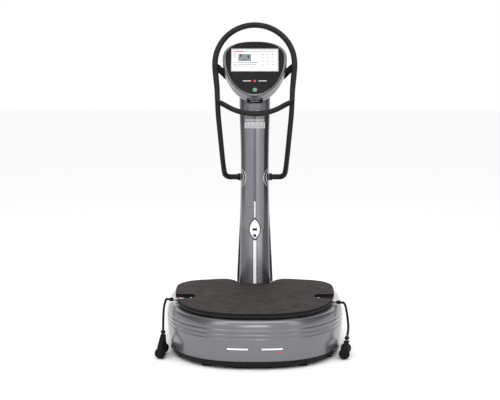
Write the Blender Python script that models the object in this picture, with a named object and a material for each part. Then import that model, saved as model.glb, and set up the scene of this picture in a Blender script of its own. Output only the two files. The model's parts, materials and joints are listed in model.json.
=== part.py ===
"""Vibration plate with a console column, a hoop handlebar and two cable handles.

Metres, +Z up. The floor is Z = 0 and the machine stands on the middle of its own footprint.
The user stands on the platform at -Y and faces +Y. Left (l) is -X and right (r) is +X.
"""
import bpy
import bmesh
from math import cos, sin, pi, radians
from mathutils import Matrix, Vector

GAP = 0.0003                      # clearance between touching pieces
SIDES = (("l", -1), ("r", 1))

# Housing of the base: a superellipse whose front and rear halves differ
HOUSING_CENTRE_Y = 0.0408
HOUSING_HALF_WIDTH = 0.4230
HOUSING_FRONT, FRONT_POWER = 0.5468, 2.48
HOUSING_REAR, REAR_POWER = 0.4652, 2.45
COVER_BOTTOM, DECK_TOP = 0.040, 0.2225
COVER_WALL = 0.0045
WALL_LEAN = 0.003                 # how far the wall leans out on its way up
WALL_TOP = 0.160                  # the rounded shoulder starts here
SHOULDER_REACH = 0.0265
TAIL_START_Y, TAIL_DROP, TAIL_BASE = 0.370, 0.030, 0.100   # behind this Y the top slopes down
GROOVE_HEIGHTS = (0.145, 0.1635, 0.184)
GROOVE_HALF, GROOVE_DEPTH = 0.0060, 0.0025
SHOULDER_HEIGHTS = (0.1980, 0.2080, 0.2155, 0.2205, DECK_TOP)
INNER_CORNERS = ((0.214, 0.209), (0.190, 0.190))   # height followed on the outside, height inside
POST_CLEARANCE = 0.004
SEAM_Y_LOW, SEAM_Y_HIGH = -0.239, -0.119
SEAM_HALF_GAP = 0.0005

# Power entry in the rear of the housing
INLET_HALF_X, INLET_Z, INLET_Y = 0.042, (0.082, 0.122), (0.465, 0.511)
INLET_CLEARANCE = 0.0006
SOCKET_X, SOCKET_HALF_Z, SOCKET_DEEP_Y = (-0.034, -0.002), 0.012, 0.489
SWITCH_X, SWITCH_HALF_Z, SWITCH_DEEP_Y = (0.012, 0.030), 0.0115, 0.485
SWITCH_ROOM = (0.0008, 0.0020)    # clearance of the rocker's pocket across and up
SWITCH_Y = (-0.010, 0.008)        # the rocker's back and front from its pivot
SWITCH_PIVOT_Y, SWITCH_TILT = 0.505, radians(8)

# Platform
PLATFORM_HALF = (
    (0.0, -0.480), (0.110, -0.474), (0.231, -0.418), (0.313, -0.319), (0.355, -0.210),
    (0.376, -0.100), (0.385, 0.020), (0.387, 0.144), (0.368, 0.216), (0.321, 0.270),
    (0.235, 0.302), (0.150, 0.318), (0.108, 0.288), (0.090, 0.246), (0.082, 0.222),
    (0.066, 0.204), (0.040, 0.196), (0.0, 0.195))
PLATE_BOTTOM, PLATE_TOP = 0.2303, 0.2400
MAT_TOP = 0.2500
OPENING_INSET = 0.020             # the deck reaches this far under the platform's edge
SLOT_END_X, SLOT_END_REACH = 0.306, 0.022
SLOT_Y, SLOT_HALF = -0.1025, 0.0400
SLOT_FLARE = ((0.322, -0.147), (0.348, -0.160), (0.366, -0.172), (0.420, -0.190),
              (0.420, -0.048), (0.372, -0.058), (0.345, -0.0622))
SLOT_TOOL_REACH = 0.02            # the cutter stands this far above and below the platform
ANCHOR_X, ANCHOR_Y, ANCHOR_Z, ANCHOR_RADIUS = 0.303, -0.122, 0.2352, 0.0040
ANCHOR_ENDS = (-0.152, -0.053)    # the pin spans the slot along Y
PLATE_INSET = 0.0015
EYE_RADIUS, EYE_WIRE = 0.0085, 0.0028

# Chassis
FOOT_HEIGHT = 0.0140
FOOT_RADIUS = 0.024
FOOT_PLACES = (("front", 0.214, -0.408), ("rear", 0.235, 0.385))
FOOT_SIDE_X, FOOT_SIDE_Y = (0.312, 0.354), (-0.282, -0.228)
FOOT_PAD = ((-0.146, -0.412), (0.146, -0.412), (0.140, -0.438), (0.080, -0.462), (-0.080, -0.462),
            (-0.140, -0.438))
TRAY_INSET, TRAY_WALL, TRAY_TOP = 0.012, 0.003, 0.052
FRAME_THICKNESS, FRAME_HALF_X, FRAME_Y = 0.008, 0.280, (-0.330, 0.345)
RAIL_X, RAIL_HALF, RAIL_TOP, RAIL_Y = 0.170, 0.020, 0.0620, (-0.320, 0.335)
DRIVE_X, DRIVE_Y, DRIVE_TOP = (0.205, 0.272), (0.085, 0.285), 0.150
FIN_COUNT, FIN_START_Y, FIN_PITCH, FIN_GAP, FIN_X, FIN_BOTTOM = 5, 0.105, 0.036, 0.016, 0.262, 0.060
CRADLE_BOTTOM, CRADLE_SHEET = 0.1100, 0.008
CRADLE_Y = (-0.245, 0.125)
CRADLE_HALF = 0.200
FLANGE_WIDTH, FLANGE_THICKNESS = 0.038, 0.0055
MOUNT_YS, MOUNT_RADIUS = (("front", -0.190), ("rear", 0.070)), 0.019
MOTOR_YS = (("front", -0.150), ("rear", 0.030))
MOTOR_Z, MOTOR_RADIUS, MOTOR_HALF = 0.1725, 0.045, 0.080
SHAFT_RADIUS, SHAFT_HALF = 0.008, 0.124
MOTOR_FOOT_INSET, MOTOR_FOOT_HALF, MOTOR_FOOT_DROP = 0.012, 0.042, 0.028
BORE_CLEARANCE = 0.0005
WEIGHT_RADIUS, WEIGHT_X = 0.037, (0.088, 0.116)
WEIGHT_HUB = ((-0.013, 0.0), (-0.012, 0.012), (0.012, 0.012), (0.013, 0.0))

# Column
COLUMN_FRONT_Y, COLUMN_ROUND = 0.201, 0.055
COLUMN_POWER, COLUMN_REAR_POWER = 3.2, 2.6
COLUMN_SEAM_Y, COLUMN_SEAM_GAP = 0.276, 0.0006
WIDTH_BLEND = 0.08                # stretch of height over which the widths are smoothed
COLUMN_TOP = 1.120
COLUMN_WIDTHS = ((0.2228, 0.0805), (0.42, 0.0735), (0.62, 0.0708), (0.80, 0.0700),
                 (0.95, 0.0710), (1.05, 0.0740), (1.12, 0.0780))
REAR_WIDTHS = ((0.2228, 0.0935), (0.42, 0.0840), (0.62, 0.0730), (0.80, 0.0702),
               (0.95, 0.0710), (1.05, 0.0740), (1.12, 0.0780))
REAR_DEPTHS = ((0.2228, 0.093), (0.42, 0.084), (0.62, 0.077), (0.80, 0.071),
               (0.95, 0.068), (1.05, 0.066), (1.12, 0.066))
COLUMN_WALL = 0.003
POST_HALF_X, POST_Y, POST_WALL, POST_TOP = 0.035, (0.245, 0.305), 0.004, 1.235
NECK_TOP, NECK_HALF_WIDTH, NECK_DEPTH, NECK_INSET = 1.300, 0.0765, 0.060, 0.0012
NECK_ROOM = ((-0.058, 0.226, 1.100), (0.058, 0.318, 1.262))   # hollow round the post's top

# Control pad on the column
PAD_Z, PAD_HALF_WIDTH, PAD_HALF_HEIGHT = 0.525, 0.029, 0.0555
PAD_RIM = 0.0032
PAD_FRONT_Y = 0.1957
PAD_BUTTON_Z, PAD_BUTTON_RADIUS = 0.493, 0.0068
PAD_KEY_Z, PAD_KEY_SIZE = 0.524, (0.022, 0.011)
PAD_HOLE_Y = (0.18, 0.22)         # reach of the cutters through the pad's face
KEY_Y = (-0.0010, 0.0030)         # a key's front and back from its origin

# Head, in its own frame: x to the right, v up the face, d behind the face
HEAD_CENTRE = Vector((0.0, 0.170, 1.3264))
HEAD_TILT = radians(34.0)
HEAD_HALF_WIDTH, HEAD_WIDE_V = 0.1584, 0.0600
HEAD_TOP_POWER, HEAD_BOTTOM_POWER = 2.42, 1.82
FASCIA_BOTTOM_POWER = 2.0
HEAD_TOP_V, HEAD_BOTTOM_V = 0.1615, -0.1615
HEAD_DEPTH, HEAD_SPLIT_D = 0.085, 0.034
HEAD_RIGHT = Vector((1, 0, 0))
HEAD_UP = Vector((0, sin(HEAD_TILT), cos(HEAD_TILT)))
HEAD_BACK = Vector((0, cos(HEAD_TILT), -sin(HEAD_TILT)))
REAR_SHELL_INSIDE = ((-0.0320, 0.0805), (-0.0150, 0.0770), (-0.0050, 0.0620), (-0.0035, HEAD_SPLIT_D + GAP))
REAR_SHELL_OUTSIDE = ((0.0, HEAD_SPLIT_D + GAP), (0.0, 0.0610), (-0.0050, 0.0740), (-0.0140, 0.0815),
                      (-0.0300, HEAD_DEPTH))
BEZEL_OUTSIDE = ((0.0, HEAD_SPLIT_D), (0.0, 0.0120), (-0.0018, 0.0045), (-0.0040, 0.0010))
BEZEL_SEAT = ((0.0020, 0.0), (0.0008, 0.0020), (0.0008, 0.0115), (-0.0080, 0.0115), (-0.0080, 0.0145))
BEZEL_INSIDE = ((-0.0060, 0.0160), (-0.0035, HEAD_SPLIT_D))
FASCIA_HALF_WIDTH, FASCIA_WIDE_V = 0.1430, 0.060
FASCIA_TOP_V, FASCIA_BOTTOM_V = 0.1540, -0.1510
SCREEN_HALF_WIDTH, SCREEN_V = 0.1165, (-0.0175, 0.1170)
FASCIA_D = (0.0050, 0.0112)
SCREEN_RIM, SCREEN_D = 0.006, (0.0032, 0.0110)
GLASS_D = (0.0050, 0.0105)
BOARD_LOW, BOARD_HIGH = (-0.100, -0.070, 0.0300), (0.100, 0.095, 0.0360)
START_V, START_RADIUS = -0.124, 0.0075
BUTTON_CLEARANCE = 0.0005
PORT_HALF_WIDTH, PORT_D, PORT_V = 0.039, (0.043, 0.068), (-0.1600, -0.1420)
PORT_POCKET_HALF, PORT_POCKET_RIM, PORT_POCKET_V = 0.030, 0.006, -0.152
BRACKET_CLEARANCE = 0.0012        # between the head's back and the neck
BRACKET_LEG = ((-0.028, 0.2275, POST_TOP + GAP), (0.028, 0.290, 1.2560))

# Handlebar
TUBE_RADII = ((0.783, 0.0137), (0.84, 0.0125), (1.17, 0.0125), (1.28, 0.0143))   # by height
CROSSBAR_RADIUS = 0.0125
COLLAR_Y, COLLAR_Z, COLLAR_RADIUS, COLLAR_X = 0.256, 0.783, 0.018, (0.0712, 0.0862)
HOOP_SIDE = Vector((0.1966, 0.228, 1.350))
HOOP_TOP = Vector((0.0, 0.335, 1.5405))
UPRIGHT = ((0.0866, 0.256, 0.783), (0.0956, 0.256, 0.783), (0.1046, 0.256, 0.783), (0.131, 0.2475, 0.7845),
           (0.1475, 0.232, 0.7965), (0.1532, 0.210, 0.819), (0.1560, 0.187, 0.848), (0.1603, 0.155, 0.898),
           (0.1684, 0.112, 1.000), (0.1767, 0.092, 1.0975), (0.1807, 0.105, 1.165), (0.1840, 0.140, 1.2225),
           (0.1905, 0.180, 1.280))
CROSSBAR_HALF = ((0.1812, 0.104, 1.164), (0.152, 0.072, 1.1525), (0.105, 0.045, 1.129),
                 (0.055, 0.032, 1.114), (0.0, 0.028, 1.109))
HOOP_BRACKET = ((0.1930, 0.0310, 0.040), (0.1770, 0.0310, 0.055), (0.1630, 0.0300, 0.077),
                (0.1470, 0.0240, 0.0880), (0.1240, 0.0070, 0.0882), (0.0960, -0.0080, 0.0882))
HOOP_BRACKET_WIDTH, HOOP_BRACKET_THICKNESS = 0.046, 0.005

# Cable handles: each runs from the slot over the shoulder and hangs beside the base
ADJUSTER_INNER = 0.022            # distance from the anchor pin to the adjuster's inner end
ADJUSTER_OUTER = {"l": (-0.4005, -0.1600, 0.2455), "r": (0.4015, -0.1780, 0.2345)}
SHANK_RADIUS = 0.0035
ADJUSTER_PROFILE = ((0.0, 0.0050), (0.03, 0.0068), (0.45, 0.0070), (0.46, 0.0080), (0.54, 0.0080),
                    (0.55, 0.0070), (0.78, 0.0072), (0.81, 0.0085), (0.94, 0.0085), (1.0, 0.0072))
CORD_RADIUS = 0.0058
CORD_EXIT = 0.016                 # straight stretch where the cord leaves the adjuster
CORD_ROUTE = {
    "l": ((-0.4195, -0.1850, 0.2380), (-0.4235, -0.2050, 0.2180), (-0.4245, -0.2240, 0.1930),
          (-0.4245, -0.2400, 0.1670), (-0.4242, -0.2530, 0.1430), (-0.4240, -0.2600, 0.1255)),
    "r": ((0.4220, -0.2050, 0.2260), (0.4270, -0.2260, 0.2020), (0.4300, -0.2440, 0.1740),
          (0.4320, -0.2600, 0.1460), (0.4305, -0.2710, 0.1210), (0.4270, -0.2760, 0.1005))}
STOPPER_RADIUS = 0.011
GRIP_RADIUS, GRIP_Z = 0.0245, 0.0275
GRIP_PROFILE = ((0.0, 0.0235), (0.02, GRIP_RADIUS), (0.08, GRIP_RADIUS), (0.10, 0.0200), (0.5, 0.0215),
                (0.90, 0.0200), (0.92, GRIP_RADIUS), (0.98, GRIP_RADIUS), (1.0, 0.0235))
GRIP_ENDS = {"l": ((-0.4350, -0.3220), (-0.4260, -0.2060)), "r": ((0.4080, -0.3330), (0.4265, -0.2180))}
STRAP_WIDTH, STRAP_THICKNESS = 0.022, 0.003
STRAP_FOOT_Z, STRAP_LIFT, STRAP_LEAN = -0.0135, 0.008, 0.005
STRAP_CROWN_HALF, STRAP_CROWN_DROP = 0.010, 0.0015


# ---------------------------------------------------------------- helpers

def clear_scene():
    for obj in list(bpy.data.objects):
        bpy.data.objects.remove(obj, do_unlink=True)


def new_collection(name):
    collection = bpy.data.collections.new(name)
    bpy.context.scene.collection.children.link(collection)
    return collection


clear_scene()
PARTS = new_collection("vibration_plate")
CUTTERS = new_collection("cutters")


def material(name, colour, roughness, metallic=0.0):
    mat = bpy.data.materials.get(name) or bpy.data.materials.new(name)
    mat.use_nodes = True
    shader = mat.node_tree.nodes["Principled BSDF"]
    shader.inputs["Base Color"].default_value = (*colour, 1.0)
    shader.inputs["Roughness"].default_value = roughness
    shader.inputs["Metallic"].default_value = metallic
    return mat


GRAPHITE = ("graphite_paint", (0.19, 0.20, 0.22), 0.28, 0.6)
LIGHT_GREY = ("light_grey_paint", (0.50, 0.51, 0.54), 0.3, 0.6)
BLACK_PLASTIC = ("black_plastic", (0.02, 0.02, 0.022), 0.5)
BLACK_COAT = ("black_coating", (0.015, 0.014, 0.014), 0.6)
RUBBER = ("black_rubber", (0.018, 0.018, 0.018), 0.85)
MAT_RUBBER = ("mat_rubber", (0.075, 0.065, 0.06), 0.9)
STEEL = ("bare_steel", (0.45, 0.45, 0.46), 0.4, 1.0)
CHROME = ("chrome", (0.8, 0.8, 0.8), 0.12, 1.0)
WHITE = ("white_plastic", (0.85, 0.85, 0.85), 0.35)
GLASS = ("screen_glass", (0.75, 0.78, 0.8), 0.15)
GREEN = ("green_plastic", (0.02, 0.42, 0.16), 0.35)
BOARD = ("circuit_board", (0.03, 0.20, 0.08), 0.5)
WEBBING = ("black_webbing", (0.02, 0.02, 0.02), 0.95)


def add(name, mesh, look=None, collection=PARTS):
    """Link a mesh as one sub-part, or as a cutter when it has no look."""
    obj = bpy.data.objects.new(name, mesh)
    collection.objects.link(obj)
    if look:
        mesh.materials.append(material(*look))
    return obj


def face_outward(bm):
    bmesh.ops.recalc_face_normals(bm, faces=bm.faces)
    if bm.calc_volume(signed=True) < 0:
        bmesh.ops.reverse_faces(bm, faces=bm.faces)


def mesh_from(bm, name, smooth=True):
    face_outward(bm)
    mesh = bpy.data.meshes.new(name)
    bm.to_mesh(mesh)
    bm.free()
    if smooth:
        mesh.shade_smooth()
        mesh.set_sharp_from_angle(angle=radians(35))
    return mesh


def box_mesh(name, low, high, bevel=0.0):
    """An axis-aligned box between two corners, with rounded edges if asked."""
    low, high = Vector(low), Vector(high)
    bm = bmesh.new()
    bmesh.ops.create_cube(bm, size=1.0)
    size = high - low
    bmesh.ops.scale(bm, vec=size, verts=bm.verts)
    bmesh.ops.translate(bm, vec=(low + high) / 2, verts=bm.verts)
    if bevel:
        bmesh.ops.bevel(bm, geom=bm.edges[:], offset=bevel, segments=2, affect="EDGES", profile=0.5)
    return mesh_from(bm, name)


def rod_mesh(name, start, end, radius, sides=24, radius_end=None, bevel=0.0):
    """A round bar between two points."""
    start, end = Vector(start), Vector(end)
    axis = end - start
    turn = Vector((0, 0, 1)).rotation_difference(axis).to_matrix().to_4x4()
    bm = bmesh.new()
    bmesh.ops.create_cone(bm, cap_ends=True, segments=sides, radius1=radius,
                          radius2=radius if radius_end is None else radius_end, depth=axis.length)
    if bevel:
        rims = [edge for edge in bm.edges if len(edge.link_faces) == 2
                and any(len(face.verts) > 4 for face in edge.link_faces)]
        bmesh.ops.bevel(bm, geom=rims, offset=bevel, segments=2, affect="EDGES", profile=0.5)
    bmesh.ops.transform(bm, matrix=Matrix.Translation((start + end) / 2) @ turn, verts=bm.verts)
    return mesh_from(bm, name)


def loft_mesh(name, rings, closed_path=False):
    """Quads between successive closed rings of points, capped at both ends unless the path closes."""
    bm = bmesh.new()
    rows = [[bm.verts.new(point) for point in ring] for ring in rings]
    pairs = list(zip(rows, rows[1:]))
    if closed_path:
        pairs.append((rows[-1], rows[0]))
    count = len(rows[0])
    for near, far in pairs:
        for i in range(count):
            j = (i + 1) % count
            bm.faces.new((near[i], near[j], far[j], far[i]))
    if not closed_path:
        bm.faces.new(rows[0])
        bm.faces.new(rows[-1])
    return mesh_from(bm, name)


def outline_mesh(name, points, low, high):
    """A flat outline in XY as a filled 2D curve, extruded from low to high and welded."""
    curve = bpy.data.curves.new(name, "CURVE")
    curve.dimensions = "2D"
    curve.fill_mode = "BOTH"
    curve.extrude = (high - low) / 2
    spline = curve.splines.new("POLY")
    spline.points.add(len(points) - 1)
    for item, (x, y) in zip(spline.points, points):
        item.co = (x, y, 0, 1)
    spline.use_cyclic_u = True
    mesh = curve_to_mesh(curve, name)
    mesh.transform(Matrix.Translation((0, 0, (low + high) / 2)))
    return mesh


def tube_mesh(name, points, radius, resolution=3, thickness=None):
    """A round tube along a line of points; thickness scales the radius at each point."""
    curve = bpy.data.curves.new(name, "CURVE")
    curve.dimensions = "3D"
    curve.bevel_depth = radius
    curve.bevel_resolution = resolution
    curve.use_fill_caps = True
    spline = curve.splines.new("POLY")
    spline.points.add(len(points) - 1)
    for item, point in zip(spline.points, points):
        item.co = (*point, 1)
        item.radius = thickness(point) if thickness else 1.0
    return curve_to_mesh(curve, name)


def curve_to_mesh(curve, name):
    """Turn a curve into one welded mesh and drop the curve."""
    guide = bpy.data.objects.new(name, curve)
    bpy.context.scene.collection.objects.link(guide)
    bpy.context.view_layer.update()
    evaluated = guide.evaluated_get(bpy.context.evaluated_depsgraph_get())
    raw = bpy.data.meshes.new_from_object(evaluated)
    bpy.data.objects.remove(guide, do_unlink=True)
    bm = bmesh.new()
    bm.from_mesh(raw)
    bmesh.ops.remove_doubles(bm, verts=bm.verts, dist=1e-6)
    return mesh_from(bm, name)


def combine(obj, tool, operation="DIFFERENCE"):
    """Cut a tool out of an object, or join it on; the tool stays as a hidden guide."""
    tool.hide_render = True
    tool.display_type = "WIRE"
    modifier = obj.modifiers.new(tool.name, "BOOLEAN")
    modifier.operation = operation
    modifier.solver = "EXACT"
    modifier.object = tool


def cut(obj, mesh):
    combine(obj, add("cut_" + mesh.name, mesh, collection=CUTTERS))


def join(obj, mesh):
    combine(obj, add("join_" + mesh.name, mesh, collection=CUTTERS), "UNION")


def spline_points(points, per_span, closed=False):
    """Points on a smooth Catmull-Rom curve through the given points."""
    points = [Vector(point) for point in points]
    count = len(points)
    result = []
    for i in range(count if closed else count - 1):
        if closed:
            a, b, c, d = (points[(i + k - 1) % count] for k in range(4))
        else:
            b, c = points[i], points[i + 1]
            a = points[i - 1] if i else b + b - c
            d = points[i + 2] if i + 2 < count else c + c - b
        for step in range(per_span):
            t = step / per_span
            result.append(0.5 * (2 * b + (c - a) * t + (2 * a - 5 * b + 4 * c - d) * t * t
                                 + (3 * b - a - 3 * c + d) * t ** 3))
    if not closed:
        result.append(points[-1])
    return result


def mirrored(half):
    """A closed outline from its right half, which starts and ends on the centre line."""
    left = [(-point[0], *point[1:]) for point in reversed(half[1:-1])]
    return list(half) + left


def interpolate(table, at):
    """Value of a table of (position, value) pairs, in straight lines between them."""
    for (low, a), (high, b) in zip(table, table[1:]):
        if at <= high:
            t = max(0.0, (at - low) / (high - low))
            return a + (b - a) * t
    return table[-1][1]


def smooth_table(table, at, reach):
    """The table's value averaged over a short stretch, which rounds its corners."""
    samples = [interpolate(table, min(max(at + reach * k / 4, table[0][0]), table[-1][0]))
               for k in range(-4, 5)]
    return sum(samples) / len(samples)


def vary(start, end, count):
    return [start + (end - start) * i / (count - 1) for i in range(count)]


# ---------------------------------------------------------------- housing

def signed_power(value, power):
    return abs(value) ** power * (1 if value >= 0 else -1)


def housing_curve(t, offset=0.0):
    """Point of the housing's outline at angle t, pushed outward by an offset."""
    def base(angle):
        front = sin(angle) < 0
        power = 2 / (FRONT_POWER if front else REAR_POWER)
        depth = HOUSING_FRONT if front else HOUSING_REAR
        return Vector((HOUSING_HALF_WIDTH * signed_power(cos(angle), power),
                       HOUSING_CENTRE_Y + depth * signed_power(sin(angle), power)))
    along = base(t + 1e-4) - base(t - 1e-4)
    outward = Vector((along.y, -along.x)).normalized()
    return base(t) + outward * offset


def seam_y(z):
    return SEAM_Y_LOW + (SEAM_Y_HIGH - SEAM_Y_LOW) * (z - COVER_BOTTOM) / (DECK_TOP - COVER_BOTTOM)


def seam_angle(z, offset, shift):
    """Angle on the right side where the outline crosses the seam plane, moved by shift along Y."""
    target = seam_y(z) + shift
    low, high = -pi / 2, 0.3
    for _ in range(40):
        middle = (low + high) / 2
        if housing_curve(middle, offset).y < target:
            low = middle
        else:
            high = middle
    return middle


def wall_offset(z):
    """How far the housing's wall stands out from its outline at a height."""
    if z <= WALL_TOP:
        return WALL_LEAN * (z - COVER_BOTTOM) / (WALL_TOP - COVER_BOTTOM)
    rise = min((z - WALL_TOP) / (DECK_TOP - WALL_TOP), 1.0)
    return WALL_LEAN - SHOULDER_REACH * (1 - (1 - rise * rise) ** 0.5)


def wall_profile():
    """Outer and inner points of the cover's section as (offset, height), without the deck's edge."""
    outer = [(0.0, COVER_BOTTOM)]
    for z in GROOVE_HEIGHTS:
        low, high = z - GROOVE_HALF, z + GROOVE_HALF
        outer += [(wall_offset(low), low), (wall_offset(z) - GROOVE_DEPTH, z), (wall_offset(high), high)]
    outer += [(wall_offset(z), z) for z in SHOULDER_HEIGHTS]
    inner = [(wall_offset(DECK_TOP), DECK_TOP - COVER_WALL)]
    inner += [(wall_offset(followed) - COVER_WALL, z) for followed, z in INNER_CORNERS]
    inner.append((-COVER_WALL, COVER_BOTTOM))
    return outer, inner


def platform_outline(inset=0.0, per_span=3):
    """The platform's smooth outline from the front centre round the right side, pulled in by inset."""
    points = spline_points(mirrored(PLATFORM_HALF), per_span, closed=True)
    count = len(points)
    result = []
    for i, point in enumerate(points):
        along = points[(i + 1) % count] - points[i - 1]
        result.append(point - Vector((along.y, -along.x)).normalized() * inset)
    return result


def polyline_at(points, fraction):
    """Point at a fraction of a polyline's length."""
    lengths = [(b - a).length for a, b in zip(points, points[1:])]
    left = fraction * sum(lengths)
    for (a, b), length in zip(zip(points, points[1:]), lengths):
        if left <= length:
            return a + (b - a) * (left / length)
        left -= length
    return points[-1]


def opening_path(front, seam):
    """The deck opening's edge from one side's seam to the other, left to right for the front."""
    ring = platform_outline(OPENING_INSET, 8)
    right = [p for p in ring if p.x >= 0]
    split = next(i for i, p in enumerate(right) if p.y > seam)
    before, after = right[split - 1], right[split]
    edge = before + (after - before) * ((seam - before.y) / (after.y - before.y))
    half = right[:split] + [edge] if front else [edge] + right[split:]
    mirror = [Vector((-p.x, p.y)) for p in half]
    if front:
        return list(reversed(mirror))[:-1] + half
    return half + list(reversed(mirror))[1:]


def settle(point):
    """Lower a point of the housing where its top slopes down behind the column."""
    x, y, z = point
    run = min(max((y - TAIL_START_Y) / (HOUSING_CENTRE_Y + HOUSING_REAR - TAIL_START_Y), 0.0), 1.0)
    share = min(max((z - TAIL_BASE) / (DECK_TOP - TAIL_BASE), 0.0), 1.0)
    return (x, y, z - TAIL_DROP * run * run * (3 - 2 * run) * share)


def cover_mesh(name, front, sections):
    """Half of the housing: its wall, shoulder and deck swept from seam to seam."""
    shift = -SEAM_HALF_GAP if front else SEAM_HALF_GAP
    outer, inner = wall_profile()
    under = DECK_TOP - COVER_WALL
    edge_top = opening_path(front, seam_y(DECK_TOP) + shift)
    edge_under = opening_path(front, seam_y(under) + shift)
    rings = []
    for u in vary(0.0, 1.0, sections):
        def at(offset, z):
            start = seam_angle(z, offset, shift)
            t = -pi - start + (pi + 2 * start) * u if front else start + (pi - 2 * start) * u
            return (*housing_curve(t, offset), z)
        ring = [at(*point) for point in outer]
        ring += [(*polyline_at(edge_top, u), DECK_TOP), (*polyline_at(edge_under, u), under)]
        ring += [at(*point) for point in inner]
        rings.append([settle(point) for point in ring])
    return loft_mesh(name, rings)


def build_housing():
    add("front_cover", cover_mesh("front_cover", True, 43), GRAPHITE)
    rear = add("rear_cover", cover_mesh("rear_cover", False, 39), LIGHT_GREY)
    cut(rear, box_mesh("post_hole", (-POST_HALF_X - POST_CLEARANCE, POST_Y[0] - POST_CLEARANCE, 0.20),
                       (POST_HALF_X + POST_CLEARANCE, POST_Y[1] + POST_CLEARANCE, 0.24)))
    half, (low, high) = INLET_HALF_X + INLET_CLEARANCE, INLET_Z
    cut(rear, box_mesh("inlet_hole", (-half, 0.44, low - INLET_CLEARANCE),
                       (half, 0.56, high + INLET_CLEARANCE)))


# ---------------------------------------------------------------- power entry at the rear


def build_power_entry():
    mid = sum(INLET_Z) / 2
    inlet = add("power_inlet", box_mesh("power_inlet", (-INLET_HALF_X, INLET_Y[0], INLET_Z[0]),
                                        (INLET_HALF_X, INLET_Y[1], INLET_Z[1]), 0.0015), BLACK_PLASTIC)
    cut(inlet, box_mesh("socket_pocket", (SOCKET_X[0], SOCKET_DEEP_Y, mid - SOCKET_HALF_Z),
                        (SOCKET_X[1], 0.53, mid + SOCKET_HALF_Z)))
    across, up = SWITCH_ROOM
    cut(inlet, box_mesh("switch_pocket", (SWITCH_X[0] - across, SWITCH_DEEP_Y, mid - SWITCH_HALF_Z - up),
                        (SWITCH_X[1] + across, 0.53, mid + SWITCH_HALF_Z + up)))
    rocker = box_mesh("power_switch", (SWITCH_X[0], SWITCH_Y[0], -SWITCH_HALF_Z),
                      (SWITCH_X[1], SWITCH_Y[1], SWITCH_HALF_Z), 0.0012)
    switch = add("power_switch", rocker, BLACK_PLASTIC)
    switch.location = (0, SWITCH_PIVOT_Y, mid)
    switch.rotation_euler = (SWITCH_TILT, 0, 0)


# ---------------------------------------------------------------- chassis

def outline_of_housing(inset, count=52):
    return [housing_curve(2 * pi * (i + 0.5) / count, -inset) for i in range(count)]


def build_chassis():
    tray_floor = FOOT_HEIGHT + GAP
    tray = add("undertray", outline_mesh("undertray", outline_of_housing(TRAY_INSET), tray_floor, TRAY_TOP),
               BLACK_PLASTIC)
    cut(tray, outline_mesh("tray_inside", outline_of_housing(TRAY_INSET + TRAY_WALL),
                           tray_floor + TRAY_WALL, TRAY_TOP + 0.01))
    low = tray_floor + TRAY_WALL + GAP
    top = low + FRAME_THICKNESS
    frame = add("base_frame", box_mesh("base_frame", (-FRAME_HALF_X, FRAME_Y[0], low),
                                       (FRAME_HALF_X, FRAME_Y[1], top), 0.001), STEEL)
    for side, sign in SIDES:
        join(frame, box_mesh("rail_" + side, (sign * RAIL_X - RAIL_HALF, RAIL_Y[0], top - 0.002),
                             (sign * RAIL_X + RAIL_HALF, RAIL_Y[1], RAIL_TOP)))
    build_post(top)
    build_drive(top)


def build_drive(bottom):
    """Box of motor electronics with gaps between cooling fins on its outer side."""
    drive = add("drive_unit", box_mesh("drive_unit", (DRIVE_X[0], DRIVE_Y[0], bottom + GAP),
                                       (DRIVE_X[1], DRIVE_Y[1], DRIVE_TOP), 0.003), BLACK_PLASTIC)
    for i in range(FIN_COUNT):
        y = FIN_START_Y + FIN_PITCH * i
        cut(drive, box_mesh("fin_gap_%d" % i, (FIN_X, y, FIN_BOTTOM),
                            (DRIVE_X[1] + 0.01, y + FIN_GAP, DRIVE_TOP + 0.01)))


def build_post(bottom):
    post = add("column_post", box_mesh("column_post", (-POST_HALF_X, POST_Y[0], bottom + GAP),
                                       (POST_HALF_X, POST_Y[1], POST_TOP)), STEEL)
    cut(post, box_mesh("post_inside", (-POST_HALF_X + POST_WALL, POST_Y[0] + POST_WALL, 0.0),
                       (POST_HALF_X - POST_WALL, POST_Y[1] - POST_WALL, POST_TOP + 0.05)))


def build_feet():
    add("foot_pad_front", outline_mesh("foot_pad_front", FOOT_PAD, 0.0, FOOT_HEIGHT), RUBBER)
    for side, sign in SIDES:
        for place, x, y in FOOT_PLACES:
            name = "foot_%s_%s" % (place, side)
            add(name, rod_mesh(name, (sign * x, y, 0), (sign * x, y, FOOT_HEIGHT), FOOT_RADIUS, 28), RUBBER)
        name = "foot_side_" + side
        xs = sorted(sign * x for x in FOOT_SIDE_X)
        add(name, box_mesh(name, (xs[0], FOOT_SIDE_Y[0], 0), (xs[1], FOOT_SIDE_Y[1], FOOT_HEIGHT), 0.003),
            RUBBER)


# ---------------------------------------------------------------- platform and vibration drive

def slot_outline(sign):
    """A notch that widens toward the platform's side, with an oval inner end."""
    arc = [(SLOT_END_X - SLOT_END_REACH * sin(a), SLOT_Y + SLOT_HALF * cos(a)) for a in vary(0.0, pi, 11)]
    return [(sign * x, y) for x, y in arc + list(SLOT_FLARE)]


def build_platform():
    edge = platform_outline(PLATE_INSET)
    plate = add("vibration_plate", outline_mesh("vibration_plate", edge, PLATE_BOTTOM, PLATE_TOP), BLACK_COAT)
    mat = add("mat", outline_mesh("mat", platform_outline(), PLATE_TOP + GAP, MAT_TOP), MAT_RUBBER)
    for side, sign in SIDES:
        slot = outline_mesh("slot_" + side, slot_outline(sign), PLATE_BOTTOM - SLOT_TOOL_REACH,
                            MAT_TOP + SLOT_TOOL_REACH)
        tool = add("cut_slot_" + side, slot, collection=CUTTERS)
        combine(plate, tool)
        combine(mat, tool)
        join(plate, rod_mesh("anchor_" + side, (sign * ANCHOR_X, ANCHOR_ENDS[0], ANCHOR_Z),
                             (sign * ANCHOR_X, ANCHOR_ENDS[1], ANCHOR_Z), ANCHOR_RADIUS, 16))


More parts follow.
